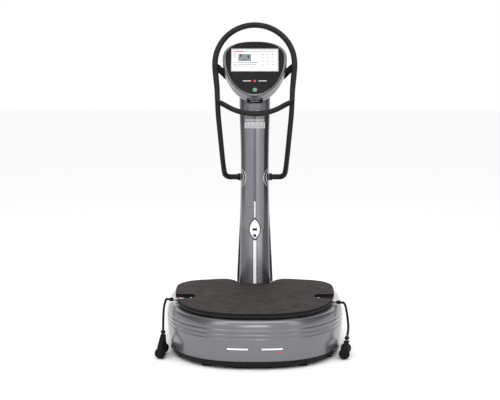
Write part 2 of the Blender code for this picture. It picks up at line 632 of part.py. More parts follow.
def build_cradle():
    front, rear = CRADLE_Y
    floor = CRADLE_BOTTOM + CRADLE_SHEET
    cradle = add("motor_cradle", box_mesh("motor_cradle", (-CRADLE_HALF, front, CRADLE_BOTTOM),
                                          (CRADLE_HALF, rear, floor), 0.001), STEEL)
    for side, sign in SIDES:
        xs = sorted((sign * (CRADLE_HALF - CRADLE_SHEET), sign * CRADLE_HALF))
        join(cradle, box_mesh("web_" + side, (xs[0], front + 0.01, floor - 0.003),
                              (xs[1], rear - 0.01, PLATE_BOTTOM - GAP)))
        outer, top = CRADLE_HALF - 0.002, PLATE_BOTTOM - GAP - 0.0005
        xs = sorted((sign * (outer - FLANGE_WIDTH), sign * outer))
        join(cradle, box_mesh("flange_" + side, (xs[0], front + 0.012, top - FLANGE_THICKNESS),
                              (xs[1], rear - 0.012, top)))
    for place, y in MOUNT_YS:
        for side, sign in SIDES:
            name = "isolator_%s_%s" % (place, side)
            add(name, rod_mesh(name, (sign * RAIL_X, y, RAIL_TOP + GAP),
                               (sign * RAIL_X, y, CRADLE_BOTTOM - GAP), MOUNT_RADIUS, 24), RUBBER)
    return floor


def build_motors(floor):
    for place, y in MOTOR_YS:
        name = "motor_" + place
        body = rod_mesh(name, (-MOTOR_HALF, y, MOTOR_Z), (MOTOR_HALF, y, MOTOR_Z), MOTOR_RADIUS, 28)
        motor = add(name, body, BLACK_COAT)
        half = MOTOR_HALF - MOTOR_FOOT_INSET
        join(motor, box_mesh(place + "_foot", (-half, y - MOTOR_FOOT_HALF, floor + GAP),
                             (half, y + MOTOR_FOOT_HALF, MOTOR_Z - MOTOR_FOOT_DROP)))
        cut(motor, rod_mesh(place + "_bore", (-0.2, y, MOTOR_Z), (0.2, y, MOTOR_Z),
                            SHAFT_RADIUS + BORE_CLEARANCE, 24))
        build_rotor(place, y)


def build_rotor(place, y):
    """Shaft with a half-round weight at each end; its origin is on the shaft's axis."""
    name = "rotor_" + place
    rotor = add(name, rod_mesh(name, (-SHAFT_HALF, 0, 0), (SHAFT_HALF, 0, 0), SHAFT_RADIUS, 24), STEEL)
    rotor.location = (0, y, MOTOR_Z)
    reach = [(WEIGHT_RADIUS * cos(a), -WEIGHT_RADIUS * sin(a)) for a in vary(0.0, pi, 15)]
    outline = reach + list(WEIGHT_HUB)
    for side, sign in SIDES:
        rings = [[(sign * x, across, up) for across, up in outline] for x in WEIGHT_X]
        weight = add("join_weight_%s_%s" % (place, side), loft_mesh("weight", rings), collection=CUTTERS)
        weight.location = rotor.location
        combine(rotor, weight, "UNION")


# ---------------------------------------------------------------- column

def front_section(z, inset, count):
    """The front cover's section from the right seam round the front to the left seam."""
    half = smooth_table(COLUMN_WIDTHS, z, WIDTH_BLEND) - inset
    power = 2 / COLUMN_POWER
    points = [(half, COLUMN_SEAM_Y)]
    for t in vary(0.0, pi, count):
        points.append((half * signed_power(cos(t), power),
                       COLUMN_FRONT_Y + inset + COLUMN_ROUND * (1 - sin(t) ** power)))
    points.append((-half, COLUMN_SEAM_Y))
    return [(x, y, z) for x, y in points]


def rear_section(z, inset, count):
    """The rear cover's section from the right seam round the back to the left seam."""
    half = smooth_table(REAR_WIDTHS, z, WIDTH_BLEND) - inset
    depth = smooth_table(REAR_DEPTHS, z, WIDTH_BLEND) - inset
    start, power = COLUMN_SEAM_Y + COLUMN_SEAM_GAP, 2 / COLUMN_REAR_POWER
    return [(half * signed_power(cos(t), power), start + depth * sin(t) ** power, z)
            for t in vary(0.0, pi, count)]


def shell_rings(section, heights, count):
    return [section(z, 0.0, count) + list(reversed(section(z, COLUMN_WALL, count))) for z in heights]


def build_column():
    heights = vary(DECK_TOP + GAP, COLUMN_TOP, 9)
    for name, section, count, look in (("column_front_cover", front_section, 17, GRAPHITE),
                                       ("column_rear_cover", rear_section, 15, LIGHT_GREY)):
        add(name, loft_mesh(name, shell_rings(section, heights, count)), look)
    build_neck()


def neck_section(z):
    """Closed outline of the neck, a little inside the column's."""
    front_power, rear_power = 2 / COLUMN_POWER, 2 / COLUMN_REAR_POWER
    turn = vary(0.0, pi, 17)
    front = [(NECK_HALF_WIDTH * signed_power(cos(t), front_power),
              COLUMN_FRONT_Y + NECK_INSET + COLUMN_ROUND * (1 - sin(t) ** front_power), z) for t in turn]
    rear = [(-NECK_HALF_WIDTH * signed_power(cos(t), rear_power),
             COLUMN_SEAM_Y + NECK_DEPTH * sin(t) ** rear_power, z) for t in turn]
    return front + rear


def build_neck():
    rings = [neck_section(COLUMN_TOP + GAP), neck_section(NECK_TOP)]
    neck = add("neck_cover", loft_mesh("neck_cover", rings), GRAPHITE)
    above = HEAD_DEPTH + BRACKET_CLEARANCE
    cut(neck, head_box("head_clearance", (-0.25, -0.30, -0.10), (0.25, 0.30, above)))
    cut(neck, box_mesh("neck_inside", *NECK_ROOM))
    cut(neck, head_box("bracket_window", (-0.0525, -0.056, above - 0.01), (0.0525, 0.010, 0.118)))


# ---------------------------------------------------------------- head

def head_point(x, v, d):
    return HEAD_CENTRE + HEAD_RIGHT * x + HEAD_UP * v + HEAD_BACK * d


def head_matrix():
    """Maps (x, v, d) to the world. Its third axis points backward, so it mirrors."""
    matrix = Matrix.Identity(4)
    for column, axis in enumerate((HEAD_RIGHT, HEAD_UP, HEAD_BACK)):
        for row in range(3):
            matrix[row][column] = axis[row]
    return Matrix.Translation(HEAD_CENTRE) @ matrix


def in_head(mesh):
    """Move a mesh drawn in (x, v, d) to the head's place, with its faces still outward."""
    bm = bmesh.new()
    bm.from_mesh(mesh)
    bmesh.ops.transform(bm, matrix=head_matrix(), verts=bm.verts)
    face_outward(bm)
    bm.to_mesh(mesh)
    bm.free()
    return mesh


def head_box(name, low, high, bevel=0.0):
    return in_head(box_mesh(name, low, high, bevel))


def egg(half_width, wide_v, top_v, bottom_v, bottom_power, grow=0.0, count=44):
    """An outline in (x, v) with a squarish top and a round bottom, pushed outward by grow."""
    points = []
    for i in range(count):
        a = 2 * pi * i / count
        reach = (top_v - wide_v if sin(a) > 0 else wide_v - bottom_v) + grow
        power = 2 / (HEAD_TOP_POWER if sin(a) > 0 else bottom_power)
        points.append(((half_width + grow) * signed_power(cos(a), power),
                       wide_v + reach * signed_power(sin(a), power)))
    return points


def head_outline(grow=0.0):
    return egg(HEAD_HALF_WIDTH, HEAD_WIDE_V, HEAD_TOP_V, HEAD_BOTTOM_V, HEAD_BOTTOM_POWER, grow)


def fascia_outline(grow=0.0):
    return egg(FASCIA_HALF_WIDTH, FASCIA_WIDE_V, FASCIA_TOP_V, FASCIA_BOTTOM_V, FASCIA_BOTTOM_POWER, grow)


def head_rings(outline, steps):
    """Rings of an outline, each pushed outward and set behind the face by a (grow, depth) pair."""
    return [[head_point(x, v, d) for x, v in outline(grow)] for grow, d in steps]


def build_head_shells():
    rings = head_rings(head_outline, REAR_SHELL_INSIDE + REAR_SHELL_OUTSIDE)
    rear = add("head_rear_shell", loft_mesh("head_rear_shell", rings), GRAPHITE)
    half, (near, far) = PORT_HALF_WIDTH + INLET_CLEARANCE, PORT_D
    cut(rear, head_box("port_hole", (-half, -0.20, near - INLET_CLEARANCE),
                       (half, -0.14, far + INLET_CLEARANCE)))
    rings = (head_rings(head_outline, BEZEL_OUTSIDE) + head_rings(fascia_outline, BEZEL_SEAT)
             + head_rings(head_outline, BEZEL_INSIDE))
    add("head_bezel", loft_mesh("head_bezel", rings, closed_path=True), GRAPHITE)


def build_fascia():
    rings = head_rings(fascia_outline, [(0.0, d) for d in FASCIA_D])
    fascia = add("fascia", loft_mesh("fascia", rings), BLACK_PLASTIC)
    cut(fascia, screen_rectangle("screen_window", -BUTTON_CLEARANCE, (-0.01, 0.02)))
    cut(fascia, in_head(rod_mesh("start_hole", (0, START_V, -0.01), (0, START_V, 0.03),
                                 START_RADIUS + BUTTON_CLEARANCE, 24)))
    frame = add("screen_frame", screen_rectangle("screen_frame", 0.0, SCREEN_D, 0.0012), CHROME)
    cut(frame, screen_rectangle("glass_window", SCREEN_RIM, (-0.01, 0.02)))
    add("display_glass", screen_rectangle("display_glass", SCREEN_RIM + GAP, GLASS_D, 0.0004), GLASS)
    add("display_board", head_box("display_board", BOARD_LOW, BOARD_HIGH), BOARD)


def screen_rectangle(name, inset, depths, bevel=0.0):
    """A slab as large as the screen less an inset, between two depths behind the face."""
    half, (low, high) = SCREEN_HALF_WIDTH - inset, SCREEN_V
    return head_box(name, (-half, low + inset, depths[0]), (half, high - inset, depths[1]), bevel)


def build_head_fittings():
    start = rod_mesh("start_button", (0, 0, -0.0012), (0, 0, 0.0100), START_RADIUS, 20)
    button = add("start_button", start, GREEN)
    button.matrix_world = Matrix.Translation(head_point(0, START_V, 0.0045)) @ Matrix.Rotation(
        -pi / 2 - HEAD_TILT, 4, "X")
    port = add("port_socket", head_box("port_socket", (-PORT_HALF_WIDTH, PORT_V[0], PORT_D[0]),
                                       (PORT_HALF_WIDTH, PORT_V[1], PORT_D[1]), 0.0012), BLACK_PLASTIC)
    cut(port, head_box("port_pocket", (-PORT_POCKET_HALF, -0.18, PORT_D[0] + PORT_POCKET_RIM),
                       (PORT_POCKET_HALF, PORT_POCKET_V, PORT_D[1] - PORT_POCKET_RIM)))
    flange = head_box("head_bracket", (-0.050, -0.054, HEAD_DEPTH + GAP), (0.050, 0.008, HEAD_DEPTH + 0.008))
    bracket = add("head_bracket", flange, STEEL)
    join(bracket, box_mesh("bracket_leg", *BRACKET_LEG))


# ---------------------------------------------------------------- control pad

def vesica(half_width, half_height, count=13):
    """A pointed oval made of two arcs, in (x, z) round its centre."""
    radius = (half_width ** 2 + half_height ** 2) / (2 * half_width)
    reach = Vector((radius - half_width, half_height)).angle(Vector((1, 0)))
    right = [(radius * cos(a) - radius + half_width, radius * sin(a)) for a in vary(-reach, reach, count)]
    return right + [(-x, -z) for x, z in right[1:-1]]


def pad_slab(name, outline, near, far):
    rings = [[(x, y, PAD_Z + z) for x, z in outline] for y in (near, far)]
    return loft_mesh(name, rings)


def build_pad():
    back = COLUMN_FRONT_Y - GAP
    outline = vesica(PAD_HALF_WIDTH, PAD_HALF_HEIGHT)
    bezel = add("pad_bezel", pad_slab("pad_bezel", outline, PAD_FRONT_Y, back), BLACK_PLASTIC)
    inner = (PAD_HALF_WIDTH - PAD_RIM, PAD_HALF_HEIGHT - 1.6 * PAD_RIM)
    cut(bezel, pad_slab("pad_window", vesica(*inner), PAD_FRONT_Y - 0.01, back + 0.01))
    face = add("pad_face", pad_slab("pad_face", vesica(inner[0] - 0.0004, inner[1] - 0.0006),
                                    PAD_FRONT_Y + 0.0008, back), WHITE)
    near, far = PAD_HOLE_Y
    cut(face, rod_mesh("pad_button_hole", (0, near, PAD_BUTTON_Z), (0, far, PAD_BUTTON_Z),
                       PAD_BUTTON_RADIUS + BUTTON_CLEARANCE, 24))
    button = add("pad_button", rod_mesh("pad_button", (0, KEY_Y[0], 0), (0, KEY_Y[1], 0),
                                        PAD_BUTTON_RADIUS, 24), BLACK_PLASTIC)
    button.location = (0, PAD_FRONT_Y + 0.0005, PAD_BUTTON_Z)
    half_x, half_z = PAD_KEY_SIZE[0] / 2, PAD_KEY_SIZE[1] / 2
    room_x, room_z = half_x + BUTTON_CLEARANCE, half_z + BUTTON_CLEARANCE
    cut(face, box_mesh("pad_key_hole", (-room_x, near, PAD_KEY_Z - room_z),
                       (room_x, far, PAD_KEY_Z + room_z)))
    key_mesh = box_mesh("pad_key", (-half_x, KEY_Y[0], -half_z), (half_x, KEY_Y[1], half_z), 0.0006)
    key = add("pad_key", key_mesh, BLACK_PLASTIC)
    key.location = (0, PAD_FRONT_Y + 0.0005, PAD_KEY_Z)


# ---------------------------------------------------------------- handlebar

def arch_points():
    """Centre line of the handlebar from the left collar over the hoop to the right collar."""
    hoop = [(HOOP_SIDE.x * cos(a), *(HOOP_SIDE + (HOOP_TOP - HOOP_SIDE) * sin(a)).yz)
            for a in vary(0, pi / 2, 6)]
    right = [Vector(p) for p in UPRIGHT] + [Vector(p) for p in hoop]
    left = [Vector((-p.x, p.y, p.z)) for p in right[:-1]]
    return spline_points(left + list(reversed(right)), 2)


def tube_radius(point):
    return smooth_table(TUBE_RADII, max(point.z, TUBE_RADII[0][0]), 0.03)


def flat_bar_mesh(name, path, width_axis, width, thickness):
    """A flat bar along a path, its width along one direction."""
    rings = []
    for i, point in enumerate(path):
        along = (path[min(i + 1, len(path) - 1)] - path[max(i - 1, 0)]).normalized()
        across = (width_axis - along * width_axis.dot(along)).normalized() * (width / 2)
        normal = along.cross(across).normalized() * (thickness / 2)
        rings.append([point + across + normal, point - across + normal,
                      point - across - normal, point + across - normal])
    return loft_mesh(name, rings)


def build_handlebar():
    path = arch_points()
    add("handlebar_arch", tube_mesh("handlebar_arch", path, 1.0, 3, tube_radius), BLACK_COAT)
    clearance = add("cut_arch", tube_mesh("cut_arch", path, 1.0, 3, lambda p: tube_radius(p) + GAP),
                    collection=CUTTERS)
    half = [Vector(p) for p in CROSSBAR_HALF]
    left = [Vector((-p.x, p.y, p.z)) for p in half[:-1]]
    crossbar = add("handlebar_crossbar", tube_mesh("handlebar_crossbar", spline_points(left + half[::-1], 2),
                                                   CROSSBAR_RADIUS), BLACK_COAT)
    combine(crossbar, clearance)
    for side, sign in SIDES:
        name = "collar_" + side
        add(name, rod_mesh(name, (sign * COLLAR_X[0], COLLAR_Y, COLLAR_Z),
                           (sign * COLLAR_X[1], COLLAR_Y, COLLAR_Z), COLLAR_RADIUS, 24), BLACK_PLASTIC)
        name = "handlebar_bracket_" + side
        route = [head_point(sign * x, v, d) for x, v, d in HOOP_BRACKET]
        bracket = add(name, flat_bar_mesh(name, spline_points(route, 3), HEAD_UP, HOOP_BRACKET_WIDTH,
                                          HOOP_BRACKET_THICKNESS), BLACK_COAT)
        combine(bracket, clearance)


# ---------------------------------------------------------------- cable handles

def turned_mesh(name, start, end, profile, sides=14):
    """A turned piece along a line; the profile is (fraction of length, radius) from start to end."""
    start, end = Vector(start), Vector(end)
    axis = end - start
    turn = Vector((0, 0, 1)).rotation_difference(axis).to_matrix()
    rings = []
    for fraction, radius in profile:
        centre = start + axis * fraction
        rings.append([centre + turn @ Vector((radius * cos(2 * pi * i / sides),
                                              radius * sin(2 * pi * i / sides), 0)) for i in range(sides)])
    return loft_mesh(name, rings)


def adjuster_line(side, sign):
    """Anchor pin, inner end and outer end of the adjuster, and its direction."""
    anchor = Vector((sign * ANCHOR_X, ANCHOR_Y, ANCHOR_Z))
    outer = Vector(ADJUSTER_OUTER[side])
    along = (outer - anchor).normalized()
    return anchor, anchor + along * ADJUSTER_INNER, outer, along


def torus_rings(centre, normal, radius, thickness, around=16, sides=8):
    """Rings of a torus whose axis is normal, as closed circles swept round it."""
    turn = Vector((0, 0, 1)).rotation_difference(Vector(normal)).to_matrix()
    rings = []
    for i in range(around):
        a = 2 * pi * i / around
        ring = []
        for j in range(sides):
            b = 2 * pi * j / sides
            reach = radius + thickness * cos(b)
            ring.append(centre + turn @ Vector((reach * cos(a), reach * sin(a), thickness * sin(b))))
        rings.append(ring)
    return rings


def build_adjuster(side, sign):
    """Eye on the platform's anchor pin, and the cable adjuster that reaches over the shoulder."""
    anchor, inner, outer, along = adjuster_line(side, sign)
    name = "cable_eye_" + side
    rings = torus_rings(anchor, (0, 1, 0), EYE_RADIUS, EYE_WIRE)
    eye = add(name, loft_mesh(name, rings, closed_path=True), CHROME)
    join(eye, rod_mesh("shank_" + side, anchor + along * EYE_RADIUS, inner - along * GAP, SHANK_RADIUS, 16))
    name = "adjuster_" + side
    add(name, turned_mesh(name, inner, outer, ADJUSTER_PROFILE), BLACK_PLASTIC)


def cord_points(side, sign):
    """The cord's route, which leaves the adjuster straight and then bends down."""
    outer, along = adjuster_line(side, sign)[2:]
    start, bend, straight_end = (outer + along * (GAP + CORD_EXIT * share) for share in (0, 0.25, 1))
    return [start] + spline_points((bend, straight_end) + CORD_ROUTE[side], 3)


def build_handle(side, sign):
    """Cord, stopper, webbing loop and grip that hang from the adjuster's outer end."""
    name = "cord_" + side
    add(name, tube_mesh(name, cord_points(side, sign), CORD_RADIUS, 2), WEBBING)
    *_, before, end = cord_points(side, sign)
    name = "stopper_" + side
    bm = bmesh.new()
    bmesh.ops.create_uvsphere(bm, u_segments=14, v_segments=8, radius=STOPPER_RADIUS)
    centre = end + (end - before).normalized() * (STOPPER_RADIUS + GAP)
    bmesh.ops.translate(bm, vec=centre, verts=bm.verts)
    add(name, mesh_from(bm, name), BLACK_PLASTIC)
    front, rear = (Vector((x, y, GRIP_Z)) for x, y in GRIP_ENDS[side])
    name = "grip_" + side
    add(name, turned_mesh(name, front, rear, GRIP_PROFILE, 20), RUBBER)
    build_strap(side, front, rear, centre - Vector((0, 0, STOPPER_RADIUS + GAP)))


def build_strap(side, front, rear, top):
    """Webbing from the front end of the grip up under the stopper and down to its rear end."""
    along = (rear - front).normalized()
    rise = Vector((0, 0, GRIP_RADIUS))
    crown = top - Vector((0, 0, STRAP_THICKNESS))
    foot = Vector((0, 0, STRAP_FOOT_Z))
    near, far = front - along * STRAP_THICKNESS, rear + along * STRAP_THICKNESS
    lift, lean = rise + Vector((0, 0, STRAP_LIFT)), along * STRAP_LEAN
    drop, reach = Vector((0, 0, STRAP_CROWN_DROP)), along * STRAP_CROWN_HALF
    route = [near + foot, near + rise, near + lift + lean, crown - reach - drop,
             crown, crown + reach - drop, far + lift - lean, far + rise, far + foot]
    across = Vector((along.y, -along.x, 0))
    name = "strap_" + side
    add(name, flat_bar_mesh(name, spline_points(route, 3), across, STRAP_WIDTH, STRAP_THICKNESS), WEBBING)


# ---------------------------------------------------------------- assembly

def build():
    build_housing()
    build_power_entry()
    build_chassis()
    build_feet()
    build_platform()
    build_motors(build_cradle())
    build_column()
    build_head_shells()
    build_fascia()
    build_head_fittings()
    build_pad()
    build_handlebar()
    for side, sign in SIDES:
        build_adjuster(side, sign)
        build_handle(side, sign)


build()
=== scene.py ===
"""Looks for the vibration plate: fine surfaces, finishes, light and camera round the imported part.

Metres, +Z up. The user stands on the platform at -Y and faces +Y; l is -X and r is +X.
"""
import json
from math import cos, sin, pi, radians, sqrt

import bmesh
import bpy
from mathutils import Matrix, Vector


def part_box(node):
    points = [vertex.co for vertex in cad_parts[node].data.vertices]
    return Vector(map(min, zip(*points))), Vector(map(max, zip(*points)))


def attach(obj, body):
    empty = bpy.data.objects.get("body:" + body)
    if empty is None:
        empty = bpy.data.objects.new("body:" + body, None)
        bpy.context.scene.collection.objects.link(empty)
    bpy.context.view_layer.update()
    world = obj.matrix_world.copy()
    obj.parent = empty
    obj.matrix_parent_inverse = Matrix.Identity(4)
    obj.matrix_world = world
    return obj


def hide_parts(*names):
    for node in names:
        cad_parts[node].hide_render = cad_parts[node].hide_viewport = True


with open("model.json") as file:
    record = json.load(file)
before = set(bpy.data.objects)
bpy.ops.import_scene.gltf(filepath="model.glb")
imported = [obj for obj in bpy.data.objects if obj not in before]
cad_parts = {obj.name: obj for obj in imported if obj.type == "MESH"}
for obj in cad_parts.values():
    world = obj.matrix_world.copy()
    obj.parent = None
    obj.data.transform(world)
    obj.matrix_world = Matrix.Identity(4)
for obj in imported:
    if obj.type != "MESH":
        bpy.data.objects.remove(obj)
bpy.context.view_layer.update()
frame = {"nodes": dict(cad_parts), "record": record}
NODES = frame["nodes"]
BODY = {node: body for body, members in frame["record"]["behaviour"]["bodies"].items() for node in members}
SLOTS = {part["node"]: part["material_slot"] for part in frame["record"]["subparts"]}
SIDES = (("l", -1), ("r", 1))
GAP = 0.0003

# ------ shapes shared with the part

HOUSING_CENTRE_Y, HOUSING_HALF_WIDTH = 0.0408, 0.423
HOUSING_FRONT, FRONT_POWER = 0.5468, 2.48
HOUSING_REAR, REAR_POWER = 0.4652, 2.45
COVER_BOTTOM, DECK_TOP, COVER_WALL = 0.04, 0.2225, 0.0045
WALL_LEAN, WALL_TOP, SHOULDER_REACH = 0.003, 0.16, 0.0265
TAIL_START_Y, TAIL_DROP, TAIL_BASE = 0.37, 0.03, 0.1
GROOVE_HEIGHTS, GROOVE_HALF, GROOVE_DEPTH = (0.145, 0.1635, 0.184), 0.006, 0.0025
SEAM_Y_LOW, SEAM_Y_HIGH, SEAM_HALF_GAP = -0.239, -0.119, 0.0005
PLATFORM_HALF = (
    (0.0, -0.48), (0.11, -0.474), (0.231, -0.418), (0.313, -0.319), (0.355, -0.21),
    (0.376, -0.1), (0.385, 0.02), (0.387, 0.144), (0.368, 0.216), (0.321, 0.27),
    (0.235, 0.302), (0.15, 0.318), (0.108, 0.288), (0.09, 0.246), (0.082, 0.222),
    (0.066, 0.204), (0.04, 0.196), (0.0, 0.195))
PLATE_BOTTOM, PLATE_TOP, MAT_TOP, OPENING_INSET = 0.2303, 0.24, 0.25, 0.02
SLOT_END_X, SLOT_END_REACH, SLOT_Y, SLOT_HALF = 0.306, 0.022, -0.1025, 0.04
SLOT_FRONT = ((0.322, -0.147), (0.348, -0.16), (0.366, -0.172), (0.42, -0.19))
SLOT_REAR = ((0.42, -0.048), (0.372, -0.058), (0.345, -0.0622))
COLUMN_FRONT_Y, COLUMN_ROUND, COLUMN_SEAM_Y, COLUMN_TOP = 0.201, 0.055, 0.276, 1.12
COLUMN_WALL = 0.003
COLUMN_SIZES = (  # height, half width of the front and of the rear, depth of the rear
    (0.2228, 0.0805, 0.0935, 0.093), (0.42, 0.0735, 0.084, 0.084), (0.62, 0.0708, 0.073, 0.077),
    (0.8, 0.07, 0.0702, 0.071), (0.95, 0.071, 0.071, 0.068), (1.05, 0.074, 0.074, 0.066),
    (1.12, 0.078, 0.078, 0.066))
COLUMN_WIDTHS, REAR_WIDTHS, REAR_DEPTHS = (tuple((row[0], row[k]) for row in COLUMN_SIZES) for k in (1, 2, 3))
FRONT_SQUARENESS, REAR_SQUARENESS = 3.2, 2.6
PAD_Z, PAD_HALF_WIDTH, PAD_HALF_HEIGHT, PAD_RIM, PAD_FRONT_Y = 0.525, 0.029, 0.0555, 0.0032, 0.1957
HEAD_CENTRE, HEAD_TILT = Vector((0.0, 0.17, 1.3264)), radians(34.0)
HEAD_UP = Vector((0, sin(HEAD_TILT), cos(HEAD_TILT)))
HEAD_BACK = Vector((0, cos(HEAD_TILT), -sin(HEAD_TILT)))
HEAD_TOP_POWER = 2.42
# half width, height of the widest place, top, bottom and the lower half's power
HEAD_EGG = (0.1584, 0.06, 0.1615, -0.1615, 1.82)
FASCIA_EGG = (0.143, 0.06, 0.154, -0.151, 2.0)
HEAD_DEPTH, HEAD_SPLIT_D = 0.085, 0.034
SCREEN_HALF_WIDTH, SCREEN_V, SCREEN_RIM = 0.1165, (-0.0175, 0.117), 0.006
START_V, START_RADIUS = -0.124, 0.0075
PORT_HALF_WIDTH, PORT_D = 0.039, (0.043, 0.068)
TUBE_RADII = ((0.783, 0.0137), (0.84, 0.0125), (1.17, 0.0125), (1.28, 0.0143))
CROSSBAR_RADIUS = 0.0125
COLLAR_Y, COLLAR_Z, COLLAR_RADIUS, COLLAR_X = 0.256, 0.783, 0.018, (0.0712, 0.0862)
HOOP_SIDE, HOOP_TOP = Vector((0.1966, 0.228, 1.35)), Vector((0.0, 0.335, 1.5405))
UPRIGHT = ((0.0866, 0.256, 0.783), (0.0956, 0.256, 0.783), (0.1046, 0.256, 0.783), (0.131, 0.2475, 0.7845),
           (0.1475, 0.232, 0.7965), (0.1532, 0.21, 0.819), (0.156, 0.187, 0.848), (0.1603, 0.155, 0.898),
           (0.1684, 0.112, 1.000), (0.1767, 0.092, 1.0975), (0.1807, 0.105, 1.165), (0.184, 0.14, 1.2225),
           (0.1905, 0.18, 1.28))
CROSSBAR_HALF = ((0.1812, 0.104, 1.164), (0.152, 0.072, 1.1525), (0.105, 0.045, 1.129),
                 (0.055, 0.032, 1.114), (0.0, 0.028, 1.109))
ANCHOR_X, ANCHOR_Y, ANCHOR_Z = 0.303, -0.122, 0.2352
ADJUSTER_INNER = 0.022
ADJUSTER_OUTER = {"l": (-0.4005, -0.16, 0.2455), "r": (0.4015, -0.178, 0.2345)}
CORD_RADIUS, CORD_EXIT = 0.0058, 0.016
CORD_ROUTE = {
    "l": ((-0.4195, -0.185, 0.238), (-0.4235, -0.205, 0.218), (-0.4245, -0.224, 0.193),
          (-0.4245, -0.24, 0.167), (-0.4242, -0.253, 0.143), (-0.424, -0.26, 0.1255)),
    "r": ((0.422, -0.205, 0.226), (0.427, -0.226, 0.202), (0.43, -0.244, 0.174),
          (0.432, -0.26, 0.146), (0.4305, -0.271, 0.121), (0.427, -0.276, 0.1005))}
STOPPER_RADIUS = 0.011
GRIP_RADIUS, GRIP_Z = 0.0245, 0.0275
GRIP_ENDS = {"l": ((-0.435, -0.322), (-0.426, -0.206)), "r": ((0.408, -0.333), (0.4265, -0.218))}
STRAP_WIDTH, STRAP_THICKNESS = 0.022, 0.003
MOTOR_Z = 0.1725
BOARD_CHIPS = (  # across, up, half width and half height on the console's board
    (-0.05, 0.05, 0.012, 0.012), (0.04, 0.06, 0.009, 0.014), (0.0, 0.0, 0.014, 0.014),
    (-0.06, -0.03, 0.008, 0.005), (0.06, -0.02, 0.01, 0.007), (0.02, -0.05, 0.006, 0.006),
    (-0.02, 0.07, 0.007, 0.004))


# ------ mesh helpers

def mesh_of(bm, name):
    mesh = bpy.data.meshes.new(name)
    bm.to_mesh(mesh)
    bm.free()
    return mesh


def link_object(name, data):
    obj = bpy.data.objects.new(name, data)
    bpy.context.scene.collection.objects.link(obj)
    return obj


def loft_bm(rings, closed_path=False):
    """Rings of equal length joined one after the other, with flat ends unless the path is closed."""
    bm = bmesh.new()
    rows = [[bm.verts.new(p) for p in ring] for ring in rings]
    count = len(rows[0])
    for a, b in zip(rows, rows[1:] + rows[:1] if closed_path else rows[1:]):
        for i in range(count):
            j = (i + 1) % count
            bm.faces.new((a[i], a[j], b[j], b[i]))
    if not closed_path:
        bm.faces.new(rows[0])
        bm.faces.new(rows[-1])
    return bm


def spline(points, per_span, closed=False):
    """Points on a smooth Catmull-Rom curve through the given points."""
    points = [Vector(point) for point in points]
    if closed:
        guides = [points[-1], *points, *points[:2]]
    else:
        guides = [points[0] + points[0] - points[1], *points, points[-1] + points[-1] - points[-2]]
    result = []
    for a, b, c, d in zip(guides, guides[1:], guides[2:], guides[3:]):
        for t in (step / per_span for step in range(per_span)):
            result.append(0.5 * (2 * b + (c - a) * t + (2 * a - 5 * b + 4 * c - d) * t * t
                                 + (3 * b - a - 3 * c + d) * t ** 3))
    return result if closed else result + [points[-1]]


def vary(start, end, count):
    """Even steps from start to end."""
    return [start + (end - start) * i / (count - 1) for i in range(count)]


def mirrored(half):
    """A closed outline from its right half, which starts and ends on the centre line."""
    return list(half) + [(-point[0], *point[1:]) for point in reversed(half[1:-1])]


def interpolate(table, at):
    for (low, a), (high, b) in zip(table, table[1:]):
        if at <= high:
            return a + (b - a) * max(0.0, (at - low) / (high - low))
    return table[-1][1]


def smooth_table(table, at, reach=0.08):
    """A table's value with its corners rounded off over a reach each way."""
    places = [min(max(at + reach * k / 4, table[0][0]), table[-1][0]) for k in range(-4, 5)]
    return sum(interpolate(table, place) for place in places) / len(places)


def signed_power(value, power):
    return abs(value) ** power * (1 if value >= 0 else -1)


def sweep_rings(path, section):
    """Rings along a path; section(i, point) gives (u, w) pairs across it, and the frame doesn't twist."""
    rings, across = [], None
    for i, point in enumerate(path):
        along = (path[min(i + 1, len(path) - 1)] - path[max(i - 1, 0)]).normalized()
        if across is None:
            across = along.orthogonal().normalized()
        across = (across - along * across.dot(along)).normalized()
        up = along.cross(across)
        rings.append([point + across * u + up * w for u, w in section(i, point)])
    return rings


def circle(radius, sides):
    return [(radius * cos(2 * pi * k / sides), radius * sin(2 * pi * k / sides)) for k in range(sides)]


def tube_bm(path, radius, sides=40):
    """Round tube with flat ends; radius is a number or a function of the point."""
    size = radius if callable(radius) else (lambda point: radius)
    return loft_bm(sweep_rings(path, lambda _, point: circle(size(point), sides)))


def turned_bm(start, end, profile, sides=40):
    """A turned piece along a line; the profile is (fraction of length, radius)."""
    start, end = Vector(start), Vector(end)
    axis = end - start
    turn = Vector((0, 0, 1)).rotation_difference(axis).to_matrix()
    rings = []
    for fraction, radius in profile:
        centre = start + axis * fraction
        rings.append([centre + turn @ Vector((x, y, 0)) for x, y in circle(radius, sides)])
    return loft_bm(rings)


def box_bm(low, high, bevel=0.0, matrix=None):
    bm = bmesh.new()
    bmesh.ops.create_cube(bm, size=1.0)
    for v in bm.verts:
        v.co = Vector([(a + b) / 2 + (b - a) * c for a, b, c in zip(low, high, v.co)])
    if bevel:
        bmesh.ops.bevel(bm, geom=bm.edges[:], offset=bevel, segments=2, affect="EDGES", profile=0.5)
    if matrix:
        bmesh.ops.transform(bm, matrix=matrix, verts=bm.verts)
    return bm


def merge_bms(*parts):
    """Several separate bodies as one bmesh."""
    whole = bmesh.new()
    for bm in parts:
        mesh = mesh_of(bm, "part")
        whole.from_mesh(mesh)
        bpy.data.meshes.remove(mesh)
    return whole


